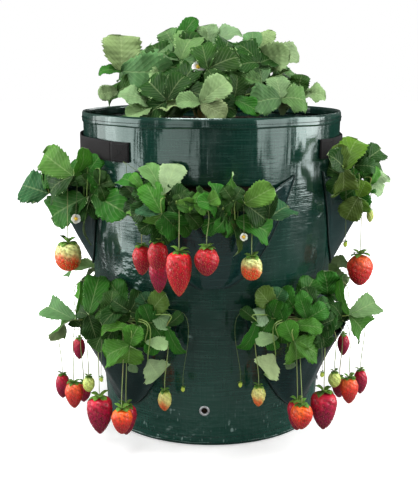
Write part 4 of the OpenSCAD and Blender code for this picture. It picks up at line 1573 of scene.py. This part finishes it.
@dataclass(frozen=True)
class Place:
    """Where a plant sits: middle in the front view, scale, side and its pocket."""

    x: float
    z: float
    scale: float
    mirror: int
    least: float
    tip: float
    turn: float

    def at(self, p: Numbers, also_z: float = 0.0) -> Array:
        """A point of the plant in the bag's frame, clear of the bag by its own distance.

        Args:
            p: The point, across, outward and up from the plant's middle.
            also_z: Another height at which it has to be clear.

        Returns:
            The point.
        """
        x, z = self.x + self.mirror * self.scale * p[0], self.z + self.scale * p[2]
        ahead = max(self.least, FORM.reach(abs(x), z), FORM.reach(abs(x), also_z) if also_z > 0 else 0)
        return np.array([x, -ahead - self.scale * p[1], z])

    def hung(self, p: Numbers) -> Array:
        """A point that hangs outside the pocket's lip."""
        lip = self.tip + FORM.pocket_h - FORM.skin_margin
        return self.at(p, lip if self.z + self.scale * p[2] < lip else 0)

    def cleared(self, p: Array, above: float) -> Array:
        """The point above a place at which a stalk has cleared the lip.

        Args:
            p: The place.
            above: How far over the lip the stalk passes.

        Returns:
            The point, no lower than the place.
        """
        turn = abs(math.degrees(math.atan2(abs(p[0]), -p[1])) - self.turn)
        lip = self.tip + float(FORM.lip_h(min(1, turn / FORM.mouth_half)))
        return np.array([p[0], p[1], max(p[2], lip + above)])


@dataclass(frozen=True)
class Blade:
    """A leaflet's form, shared by leaves, sepals and petals."""

    rows: int = 37
    cols: int = 8
    toothed: bool = True
    tooth: float = 0.15
    fold: float = 0.24
    arch: float = 0.4
    wave: float = 0.06
    wedge: float = 0.5
    blunt: float = 2.9
    thick: float = 0.5
    sweep: float = 0.13

    def make(
        self,
        base: Array,
        tip: Array,
        width: float,
        colours: Sequence[Array],
        rng: Random,
        facing: Numbers = (0, -1, 0.45),
        roll: float = 0.0,
        finish: int = 0,
    ) -> Skin:
        """One leaflet. Its half width is s^wedge (1 - s^blunt)^0.5 along it, cut by teeth.

        The face folds up from the middle vein, arches along its length and waves at its edge.

        Args:
            base: Where it starts.
            tip: Where it ends.
            width: Its greatest width.
            colours: Of the upper and the lower face.
            rng: Source of its own small differences.
            facing: Direction that the upper face looks in.
            roll: Turn about its length in degrees.
            finish: Material number.

        Returns:
            A thin closed sheet.
        """
        length, angle = float(np.linalg.norm(tip - base)), math.radians(roll)
        axis, facing = (tip - base) / length, np.asarray(facing, float)
        flat = unit(facing - (facing @ axis) * axis)
        up = math.cos(angle) * flat + math.sin(angle) * np.cross(axis, flat)
        side = np.cross(axis, up)
        s = np.linspace(0.0, 1.0, self.rows)
        t, s = np.meshgrid(np.linspace(-1, 1, self.cols + 1), s + 0.035 * np.sin(2 * np.pi * s))
        shape = s**self.wedge * np.sqrt(np.maximum(0, 1 - s**self.blunt))
        shape = shape / shape.max()
        saw = np.round((np.arange(self.rows) % 4) / 3, 3)[:, None] if self.toothed else 1.0
        cut = self.tooth * (1 - saw) * np.abs(t) ** 5 * np.clip(s * 5, 0, 1)
        x = t * width / 2 * shape * (1 - cut * (1.2 - 0.5 * shape))
        y = length * s + self.sweep * width * np.abs(t) ** 1.4 * s * (1 - s) ** 0.7 * shape
        phase = rng.uniform(0, 2 * np.pi, 3)
        lean = rng.normal(0, 0.08)
        fold, arch = self.fold * rng.uniform(0.1, 1.7), self.arch * rng.uniform(0.4, 1.6)
        z = (
            fold * np.sqrt(x * x + (0.04 * width) ** 2)
            + arch * s * (1 - s) * length
            - 0.20 * length * np.clip(s - 0.75, 0, 1)
            + self.wave * width * np.sin(2 * np.pi * 2.3 * s + phase[0] + 1.4 * t) * t * t
            + 0.03 * width * np.sin(2 * np.pi * 1.2 * s + phase[1]) * t
            + lean * x
            - 0.007 * width * np.cos(2 * np.pi * 7 * (s - 0.475 * np.abs(t))) * (1 - t**4)
        )
        face = base + y[..., None] * axis + x[..., None] * side + z[..., None] * up
        back = face - self.thick * (1 - 0.6 * np.abs(t[..., None])) * up
        skin = slab(face, back, np.stack([(t + 1) / 2, s], -1), tint=colours[0])
        skin.tint[: t.size] *= (1 + rng.normal(0, 0.06, 3) * [1.0, 0.6, 1.0]) * rng.uniform(0.68, 1.1)
        # Painted light: each leaflet is darker towards its base, painted shade where it meets the others, and
        # lighter at its edges, a painted rim light.
        skin.tint[: t.size] *= (1 + 0.18 * np.abs(t) ** 3 - 0.34 * (1 - s) ** 1.5).reshape(-1, 1)
        skin.tint[t.size :] = colours[1] * rng.uniform(0.9, 1.08)
        skin.finish[:] = finish
        return skin


LEAF = Blade()
FLAT_LEAF = Blade(fold=0.06, arch=0.12, wedge=0.75)
SPRAY = Blade(rows=25, cols=6)
SMOOTH = Blade(toothed=False, tooth=0, sweep=0)
SEPAL = replace(SMOOTH, rows=6, cols=2, fold=0.25, arch=0.35, wave=0, blunt=1.6, thick=0.3)
PETAL = replace(SMOOTH, rows=8, cols=4, fold=0.1, arch=0.3, wave=0.03, blunt=3.0, thick=0.25)
LEAF_STALK, BACK_STALK, BARK, SCALE = linear("6F8C42"), linear("5E7E3A"), linear("6B6A34"), linear("8C7A45")
FRUIT_STALK, BUD_STALK, BUD, SEPALS = linear("7C8E52"), linear("4E6034"), linear("A9BC4C"), linear("6E9C3C")
UNDER, PALE_UNDER, SPRAY_UNDER, SEPALS_UNDER = map(linear, ("A3BE86", "6F9A4C", "8FAE74", "86AC58"))
WHITE_PETAL, PETAL_UNDER, POLLEN, ANTHERS = map(linear, ("F4F5EE", "E4E8DC", "E8C93A", "D9A91E"))


def swung(turn: Array, a: Array, b: Array) -> Array:
    """Directions at angles in radians, from a towards b."""
    return np.multiply.outer(np.cos(turn), a) + np.multiply.outer(np.sin(turn), b)


@dataclass
class Greenery:
    """Makes the parts of any plant: leaves, stalks, crowns, flowers and berries."""

    finishes: Finishes
    petiole_r: float = 0.85
    fruit_stalk_r: float = 0.52
    fuller: float = 1.42
    longer: float = 1.1

    def leaf(
        self,
        path: Sequence[Array],
        leaflets: Sequence[tuple[Array, float, float, Tone]],
        rng: Random,
        look: Numbers = (0, -1, 0.45),
        spread: float = 0.18,
    ) -> list[Skin]:
        """A leaf stalk with its leaflets.

        Args:
            path: Points that the stalk passes.
            leaflets: Tip, width, roll and tone of each.
            rng: Source of small differences.
            look: Direction that the leaflets look in.
            spread: How much each one differs from it.

        Returns:
            Its surfaces.
        """
        curve, hub = smooth_path(path, 6 * len(path)), np.asarray(path[-1], float)
        parts = [tube(curve, np.linspace(1.25, 0.8, len(curve)) * self.petiole_r, 6, LEAF_STALK, 1)]
        for tip, width, roll, tone in leaflets:
            facing = np.asarray(look) + rng.normal(0, spread, 3)
            blade = FLAT_LEAF if tone in (PALE, SILVER, SAGE) else LEAF
            under = 0.55 * UNDER + 0.45 * 0.9 * (PALE_UNDER if tone is PALE else UNDER)
            colours, end = (linear(tone.value), under), hub + self.longer * (tip - hub)
            parts.append(blade.make(hub, end, self.fuller * width, colours, rng, facing, roll))
        return parts

    def spray(
        self, hub: Array, facing: Array, size: float, heading: float, tone: Tone, rng: Random
    ) -> list[Skin]:
        """Three leaflets on a hub, for the leaves behind the ones that are placed one by one.

        Args:
            hub: Where they meet.
            facing: Direction that they look in.
            size: Length of the middle one.
            heading: Its turn in its own plane, in radians from upright.
            tone: Their colour.
            rng: Source of small differences.

        Returns:
            The leaflets.
        """
        look = unit(facing)
        a = unit(np.cross([0.03, 0.05, 1.0], look))
        parts, colours = [], (linear(tone.value), SPRAY_UNDER)
        for turn, share in ((0.0, 1.0), (1.45, 0.88), (-1.45, 0.88)):
            way = swung(heading + turn + rng.normal(0, 0.12), np.cross(look, a), a)
            tip, width = hub + size * share * (way - 0.18 * look), size * share * 0.86
            parts.append(SPRAY.make(hub, tip, width, colours, rng, look + rng.normal(0, 0.1, 3)))
        return parts

    def crown(self, at: Array, rng: Random) -> list[Skin]:
        """Short woody trunk with papery scales round it.

        Args:
            at: Where it leaves the soil.
            rng: Source of small differences.

        Returns:
            Its surfaces.
        """
        z = np.linspace(-3, 24, 9)
        path = at + np.stack([0.8 * np.sin(z / 6), 0.8 * np.cos(z / 5), z], -1)
        parts = [tube(path, np.array([6.6, 6.6, 6.3, 5.9, 5.7, 5.3, 4.6, 3.4, 1.6]), 12, BARK, 1)]
        for k in range(7):
            out = swung(k * 2.4 + rng.uniform(-0.2, 0.2), EAST, NORTH)
            base, tip = at + out * 5 + UP * (2 + k), at + out * 8.5 + UP * (17 + 2 * (k % 3))
            parts.append(SEPAL.make(base, tip, 6, (SCALE, SCALE), rng, out, finish=1))
        return parts

    def sepals(self, top: Array, width: float, rng: Random, count: int = 9) -> list[Skin]:
        """Ring of pointed sepals, some flat on the berry's shoulder and some curled up.

        Args:
            top: Where the stalk meets the berry.
            width: The berry's width.
            rng: Source of small differences.
            count: How many sepals.

        Returns:
            The sepals.
        """
        parts = []
        for k in range(count):
            out = swung(2 * math.pi * (k + rng.uniform(-0.2, 0.2)) / count, EAST, NORTH)
            rise = (0.16 if k % 3 == 1 else -0.06) + rng.uniform(-0.05, 0.08)
            tip = top + out * width * rng.uniform(0.3, 0.42) + UP * rise * width
            base = top + out * 0.6 + UP * 0.9
            parts.append(SEPAL.make(base, tip, width * 0.24, (SEPALS, SEPALS_UNDER), rng, UP, finish=2))
        return parts

    def stalk(self, start: Array, over: Array, top: Array, thin: float = 1.0) -> Skin:
        """Thin fruit stalk that arches over the lip and hangs.

        Args:
            start: Where it leaves the crown.
            over: The point at which it clears the lip.
            top: Where its berry hangs.
            thin: Share of its thickness, for a bud's.

        Returns:
            The stalk.
        """
        path = smooth_path([start, over, top + UP * 12, top + UP * 0.2], 30)
        radii = np.linspace(1.35, 0.9, 30) * self.fruit_stalk_r * thin
        return tube(path, radii, 6, FRUIT_STALK if thin == 1.0 else BUD_STALK, 1)

    def bud(self, top: Array, size: float, rng: Random) -> list[Skin]:
        """Green bud or tiny fruit in its sepals.

        Args:
            top: Where its stalk meets it.
            size: Its size.
            rng: Source of small differences.

        Returns:
            Its surfaces.
        """
        ball = bead(6, 10, 2, BUD)
        ball.points = ball.points * [size * 0.36, size * 0.36, size * 0.5] + top - UP * size * 0.45
        return [ball] + self.sepals(top, size * 1.3, rng, 6)

    def flower(self, centre: Array, facing: Numbers, radius: float, rng: Random) -> list[Skin]:
        """White five-petalled flower with a yellow middle.

        Args:
            centre: Its middle.
            facing: Direction that it looks in.
            radius: Length of a petal.
            rng: Source of small differences.

        Returns:
            Its surfaces.
        """
        look, parts, colours = unit(facing), [], (WHITE_PETAL, PETAL_UNDER)
        a = unit(np.cross(look, [0.2, 0.1, 1.0]))
        b = np.cross(look, a)
        for k in range(5):
            out = swung(2 * math.pi * k / 5 + 0.3, a, b)
            base, tip = centre + out * 1.2, centre + out * radius + look * 0.8
            parts.append(PETAL.make(base, tip, radius * 0.95, colours, rng, look, finish=3))
        ball = bead(5, 10, 3, POLLEN)
        ball.points = ball.points * radius * 0.3 + centre + look
        spots = centre + look * (1.0 + radius * 0.22) + radius * 0.34 * swung(np.arange(14) * 2.4, a, b)
        return parts + [ball, scatter(bead(2, 5, 3, ANTHERS), spots, (a * 0.5, b * 0.5, look * 0.5))]

    def berry(
        self, top: Array, width: float, height: float, power: float, ripe: Ripeness, rng: Random
    ) -> list[Skin]:
        """A berry with a dimple at each seed. Its half width is (sin(180 t^power))^(blunt + point t).

        Here t runs from 0 at the top to 1 at the tip.

        Args:
            top: Where its stalk meets it.
            width: Greatest width.
            height: Height.
            power: Where it is widest, low for high shoulders.
            ripe: Its colours.
            rng: Source of small differences.

        Returns:
            Flesh and seeds.
        """
        rings, sides = 40, 44
        point = 0.07 if height > width * 1.15 else 0.02
        blunt = 0.3 if ripe is HALF else 0.48
        t = (0.5 - 0.5 * np.cos(np.pi * np.linspace(0, 1, rings + 2)[1:-1]))[:, None]
        turn, phase = circle(sides)[None], rng.uniform(0, 6.28, 3)

        def face(t: Array, turn: Array, inset: Union[float, Array] = 0.0) -> Array:
            """Points of the skin.

            Args:
                t: Share of the height, from the top.
                turn: Angles round the berry, in radians.
                inset: How deep they are sunk.

            Returns:
                The points.
            """
            r = width / 2 * np.maximum(1e-6, np.sin(np.pi * t**power)) ** (blunt + point * t)
            lump = 1 + 0.035 * np.cos(2 * turn + phase[0]) + 0.03 * np.cos(3 * turn + phase[1]) * t
            r = r * (0.965 * (lump + 0.02 * np.sin(9 * t + phase[2]))) - inset
            return np.stack([r * np.cos(turn), r * np.sin(turn), -t * height * np.ones_like(turn)], -1)

        spacing = max(2.5, width * 0.095)
        wanted = int(0.75 * np.pi * width * height / (spacing**2 * 1.25))
        count = np.arange(wanted) + 0.5
        seed_t = 0.06 + 0.9 * (count / wanted) ** (0.5 + 0.4 * power)
        seed_turn = count * 2.39996 + 0.16 * np.sin(count * 1.7)
        seeds, step = face(seed_t, seed_turn), 0.01
        near = np.sqrt(((face(t, turn)[:, :, None] - seeds) ** 2).sum(-1).min(-1))
        body = face(t, turn, 0.08 * width * np.exp(-((near / (spacing * 0.42)) ** 2)))
        shoulder, middle, end, gold = map(linear, ripe.value)
        patch = 0.22 * np.cos(turn - 3.9) if ripe in (HALF, YOUNG) else 0.0
        blush = t + patch + 0.10 * np.cos(turn * 2 + phase[0]) * (1 - t) + 0.05 * np.cos(turn * 5 + phase[1])
        blush = np.clip(blush, 0, 1)[..., None]
        edge, steep = {HALF: (0.52, 16), YOUNG: (0.72, 14)}.get(ripe, (0.52, 8))
        sharp, low = 1 / (1 + np.exp(-(blush - edge) * steep)), np.clip(blush * 2.4, 0, 1)
        # The colour runs from shoulder to tip; for the ripe colours the dark tip is partly painted shade on
        # the berry's lower side.
        if ripe is HALF:
            tint = shoulder * (1 - sharp) + (middle * (1 - low) + end * low) * sharp
        else:
            tint = (shoulder * (1 - low) + middle * low) * (1 - sharp) + end * sharp
        # Painted shade: each seed's dimple is darker and the skin between the seeds lighter.
        pit = np.exp(-((near / (spacing * 0.36)) ** 2))[..., None]
        tint = (tint * (1.2 - 0.75 * pit)).reshape(-1, 3)
        points = np.concatenate([[UP * 0], body.reshape(-1, 3), [UP * -height]]) + top
        flesh = Skin.of(points, ball_faces(rings, sides))
        flesh.tint = np.concatenate([tint[:1], tint, tint[-1:]])
        along = unit(face(seed_t + step, seed_turn) - face(seed_t - step, seed_turn))
        side = unit(face(seed_t, seed_turn + step) - face(seed_t, seed_turn - step))
        out = np.cross(along, side)
        out = np.where(((seeds * [1, 1, 0]) * out).sum(-1, keepdims=True) < 0, -out, out)
        size, places = width * 0.011 + 0.14, seeds + top - out * 0.012 * width
        axes = (side * size, out * size * 0.6, along * size * 1.5)
        return [flesh, scatter(bead(2, 5, 1), places, axes, gold)]


@dataclass
class PocketPlant:
    """A plant in a pocket, with its fruit, and for the front ones its twin at the back."""

    name: str
    place: Place
    crown_az: float
    crown_out: float
    growth: Growth
    seed: int
    twin: Optional[str] = None

    def build(self, make: Greenery) -> None:
        """Grows the plant from its crown and hangs its fruit.

        Args:
            make: Makes the parts.
        """
        rng, at, growth = np.random.default_rng(self.seed), self.place, self.growth
        soil = at.tip + FORM.pocket_h - FORM.soil_drop
        crown = polar(self.crown_az, float(FORM.wall_r(soil)) + self.crown_out, soil)
        rise = crown + UP * 20
        green, fruit = make.crown(crown, rng), []

        def hang(top: Array, out: float, up: float, above: float, thin: float = 1.0) -> Skin:
            """The stalk of a berry or bud, over the lip behind it."""
            back = [0, at.scale * 0.85 * max(0.0, out - 8), up]
            return make.stalk(rise, at.cleared(top + back, above), top, thin)

        for hub, *leaflets in growth.leaves:
            end = at.hung(hub)
            over = at.cleared(end, 10)
            path = [crown + UP * 8, rise, end]
            if not np.allclose(over, end):
                path.insert(2, over)
            spots = [(at.at(p[:3]), at.scale * p[3], at.mirror * sum(p[5:]), p[4]) for p in leaflets]
            green += make.leaf(path, spots, rng)
        for x, out, z, size, heading in growth.filling:
            hub = at.at((x, out, z), at.tip + FORM.pocket_h - FORM.skin_margin)
            # Painted shade: the leaves behind take dark tones, for the shade between the front leaves.
            tone = (SHADE, DARK, MID)[int(rng.integers(3))]
            look = np.array([0.012 * at.mirror * x, -1, 0.35]) + rng.normal(0, 0.12, 3)
            green += make.spray(hub, look, at.scale * size, at.mirror * math.radians(heading), tone, rng)
            path = [rise - UP * 6, at.cleared((rise + hub) / 2, 8), at.cleared(hub, 6), hub]
            green.append(tube(smooth_path(path, 16), 0.8, 6, BACK_STALK, 1))
        for x, out, z, width, height, power, ripe in growth.berries:
            top = at.hung((x, out, z)) + UP * 0.3
            green += [hang(top, out, 20, 5)] + make.sepals(top, at.scale * width, rng)
            fruit += make.berry(top, at.scale * width, at.scale * height, power, ripe, rng)
        for x, out, z, size in growth.buds:
            top = at.hung((x, out, z))
            green.append(hang(top, out, 14, 3, 0.6))
            if (x, out, z) == growth.flower:
                green += make.flower(top + UP * 6, (0.25 * at.mirror, -1, 0.25), at.scale * 6.5, rng)
            else:
                green += make.bud(top, at.scale * size, rng)
        pieces = {self.name: (join(green), join(fruit))}
        if self.twin is not None:
            pieces[self.twin] = tuple(skin.mirrored() for skin in pieces[self.name])
        for name, (leaves, berries) in pieces.items():
            add_piece(f"leaves_{name}", leaves, make.finishes.plant, [f"plant_{name}"])
            add_piece(f"fruit_{name}", berries, make.finishes.fruit, [f"berries_{name}"])


@dataclass
class Bed:
    """Plants that grow out of the bag's mouth."""

    name: str
    crown: tuple[float, float]
    growth: Growth
    seed: int
    flower: Optional[Spot] = None
    filling: int = 16

    def build(self, make: Greenery) -> None:
        """Raises every leaf of the bed from its crown.

        Args:
            make: Makes the parts.
        """
        rng, rim = np.random.default_rng(self.seed), UP * FORM.height
        foot = np.array([*self.crown, FORM.mix_z(math.hypot(*self.crown))])
        green = make.crown(foot, rng)
        for hub, *leaflets in self.growth.leaves:
            start = foot + [rng.uniform(-3, 3), rng.uniform(-3, 3), 10]
            end = rim + hub
            bend = (start + end) / 2 + UP * 0.18 * np.linalg.norm(end - start)
            spots = [(rim + p[:3], p[3], sum(p[5:]), p[4]) for p in leaflets]
            green += make.leaf([start, bend, end], spots, rng, (0, -0.8, 0.7), 0.3)
        for _ in range(self.filling):
            x = self.crown[0] * 0.6 + rng.uniform(-112, 112)
            y = self.crown[1] + rng.uniform(-34, 34)
            crest = 92 * math.sqrt(max(0.05, 1 - (x / 150) ** 2 - (y / 125) ** 2))
            hub = rim + [x, y, rng.uniform(0.12, 0.84) * crest]
            look = np.array([x / 130, y / 110 - 0.55, 0.75]) + rng.normal(0, 0.15, 3)
            # Painted shade: the leaves behind take dark tones, for the shade between the front leaves.
            tone = (SHADE, DARK, MOSS, SHADE, DARK)[int(rng.integers(5))]
            green += make.spray(hub, look, rng.uniform(38, 52), rng.uniform(-1.2, 1.2), tone, rng)
            start = foot + [rng.uniform(-4, 4), rng.uniform(-4, 4), 8]
            path = smooth_path([start, (start + hub) / 2 + UP * 10, hub], 12)
            green.append(tube(path, 0.9, 6, BACK_STALK, 1))
        if self.flower is not None:
            at = rim + self.flower
            green.append(make.stalk(foot + UP * 12, (foot + at) / 2 + UP * 14, at - UP * 12))
            green += make.flower(at, (-0.1, -1, 0.5), 9, rng)
        leaves = join(green)
        add_piece(f"leaves_{self.name}", leaves, make.finishes.plant, [f"plants_{self.name}"])


@dataclass
class Planting:
    """Every plant of the bag."""

    finishes: Finishes

    def build(self) -> None:
        """Lists the plants, pocket by pocket and then the bag's mouth, and grows them."""
        up, low, turn = FORM.upper_tip, FORM.lower_tip, FORM.lower_az
        left, right = Place(-163, 328, 1, 1, 24, up, 90), Place(183, 350, 1, 1, 40, up, 90)
        ahead = Place(-58, 320, 1, 1, 0, up, 0), Place(29, 317, 0.73, -1, 0, up, 0)
        below = Place(-110, 163, 1, 1, 72, low, turn), Place(110, 169, 1, -1, 72, low, turn)
        plants: list[Union[PocketPlant, Bed]] = [
            PocketPlant("upper_left", left, -82, 22, SIDE, 101),
            PocketPlant("upper_right", right, 82, 22, RIGHT, 102),
            PocketPlant("upper_front_left", ahead[0], -13, 16, FRONT, 103, "upper_back_left"),
            PocketPlant("upper_front_right", ahead[1], 12, 16, SIDE, 104, "upper_back_right"),
            PocketPlant("lower_front_left", below[0], -50, 18, LOWER, 105, "lower_back_left"),
            PocketPlant("lower_front_right", below[1], 50, 18, LOWER, 106, "lower_back_right"),
            Bed("top_front", (0, -60), TOP_FRONT, 201),
            Bed("top_middle", (-15, -5), TOP_MIDDLE, 202, (-17, -60, 58)),
            Bed("top_back", (5, 55), TOP_BACK, 203),
        ]
        make = Greenery(self.finishes)
        for plant in plants:
            plant.build(make)


# Stage


@dataclass
class Studio:
    """Camera, floor, backdrop and soft lamps."""

    camera_at: Spot = (-0.0033, -1.329, 0.502)
    pitch: float = 11.0
    lens: float = 72.5
    sensor: float = 36.0
    floor_z: float = -0.6
    sides: int = 64

    def camera(self) -> None:
        """Looks along +Y, a little down."""
        data = bpy.data.cameras.new("camera")
        data.lens, data.sensor_width, data.clip_start = self.lens, self.sensor, 0.01
        camera = bpy.data.objects.new("camera", data)
        camera.location = self.camera_at
        camera.rotation_euler = (math.radians(90 - self.pitch), 0, 0)
        bpy.context.scene.collection.objects.link(camera)
        bpy.context.scene.camera = camera

    def lamp(self, name: str, at: Spot, to: Spot, size: tuple[float, float], power: float) -> None:
        """Soft panel that looks at a point.

        Args:
            name: Its name.
            at: Where it stands, in metres.
            to: The point.
            size: Its width and height.
            power: In watts.
        """
        data = bpy.data.lights.new(name, "AREA")
        data.shape, data.size, data.size_y, data.energy = "RECTANGLE", size[0], size[1], power
        lamp = bpy.data.objects.new(name, data)
        lamp.location = at
        aim = np.array(to) - np.array(at)
        tilt = math.atan2(math.hypot(aim[0], aim[1]), -aim[2])
        lamp.rotation_euler = (tilt, 0, math.atan2(-aim[0], aim[1]))
        bpy.context.scene.collection.objects.link(lamp)

    def floor(self) -> None:
        """Large pale disc, white to the camera apart from the object's shadow."""
        turn, r = circle(self.sides), np.array([400.0, 1500.0, 9000.0])[:, None]
        ring = np.stack([r * np.cos(turn), r * np.sin(turn), np.full((3, self.sides), self.floor_z)], -1)
        points = np.concatenate([[UP * self.floor_z], ring.reshape(-1, 3)])
        body, k = grid_faces(3, self.sides, wrap=True)[:, ::-1] + 1, np.arange(self.sides)
        cap = np.stack([np.zeros_like(k), 1 + k, 1 + (k + 1) % self.sides, np.full_like(k, -1)], -1)
        skin = Skin.of(points, np.concatenate([cap, body]))
        g = Graph.of_material("pale_floor")
        white, x, y = g.seen(), g.axis(0), g.axis(1)
        glossy = g.node("ShaderNodeLightPath").outputs["Is Glossy Ray"]
        far = g.math("SQRT", g.add(g.mul(x, x), g.mul(y, y)))
        near = g.mix(g.span(far, 0.2, 0.8), (0.2, 0.2, 0.2), (0.08, 0.08, 0.08))
        paper = g.mix(g.noise(30.0, 2.0), (0.93, 0.93, 0.93), (0.97, 0.97, 0.97))
        tone = g.mix(white, g.mix(glossy, GREY, near), paper)
        glow = g.mul(g.span(far, 0.2, 0.5, 0.3, 1.0), white)
        light = {"Emission_Color": WHITE, "Emission_Strength": glow}
        g.close(Base_Color=tone, Roughness=0.9, Specular_IOR_Level=0.0, **light)
        make_object("floor", skin, [g.material])

    def world(self) -> None:
        """White behind everything the camera sees, and a soft grey sky for light and gloss."""
        world = bpy.data.worlds.new("backdrop")
        g = Graph(world, "ShaderNodeMixShader", "ShaderNodeOutputWorld")
        g.feed(g.surface.inputs[0], g.seen())
        for k, strength in ((1, 0.15), (2, 1.0)):
            g.feed(g.surface.inputs[k], g.fed("ShaderNodeBackground", {0: WHITE, 1: strength}))
        bpy.context.scene.world = world

    def build(self) -> None:
        """Sets the stage."""
        self.floor()
        self.world()
        middle = (0, 0, 0.3)
        self.lamp("left_panel", (-0.95, -0.22, 0.42), middle, (0.62, 1.0), 8.4)
        self.lamp("left_soft", (-0.974, 0.2, 0.42), (-0.132, -0.115, 0.3), (0.5, 1.0), 4.6)
        self.lamp("right_panel", (0.975, -0.075, 0.54), (0.126, -0.12, 0.34), (0.62, 0.84), 11.5)
        self.lamp("right_soft", (0.828, -0.657, 0.56), (0.082, -0.154, 0.36), (0.44, 0.84), 4.4)
        self.lamp("top_panel", (-0.25, -0.3, 1.6), middle, (0.5, 0.4), 18)
        self.lamp("front_panel", (-0.5, -1.7, 1.5), middle, (1.0, 0.8), 8)
        self.lamp("low_panel", (-0.66, -1.4, 0.3), middle, (0.9, 0.6), 3.1)
        self.lamp("back_panel", (0.5, 1.5, 1.3), middle, (1.0, 0.8), 8)
        bpy.context.scene.view_settings.view_transform = "Standard"


def main() -> None:
    """Builds the stage and the object."""
    logging.basicConfig(level=logging.INFO, format="%(message)s")
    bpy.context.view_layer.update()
    studio = Studio()
    studio.camera()
    finishes = Finishes()
    parts = [kind(finishes) for kind in (Shell, Pockets, Handles, Eyelets, Soil, Planting)]
    for part in (*parts, studio):
        part.build()
        log.info("%s is done", type(part).__name__)


if __name__ == "__main__":
    main()
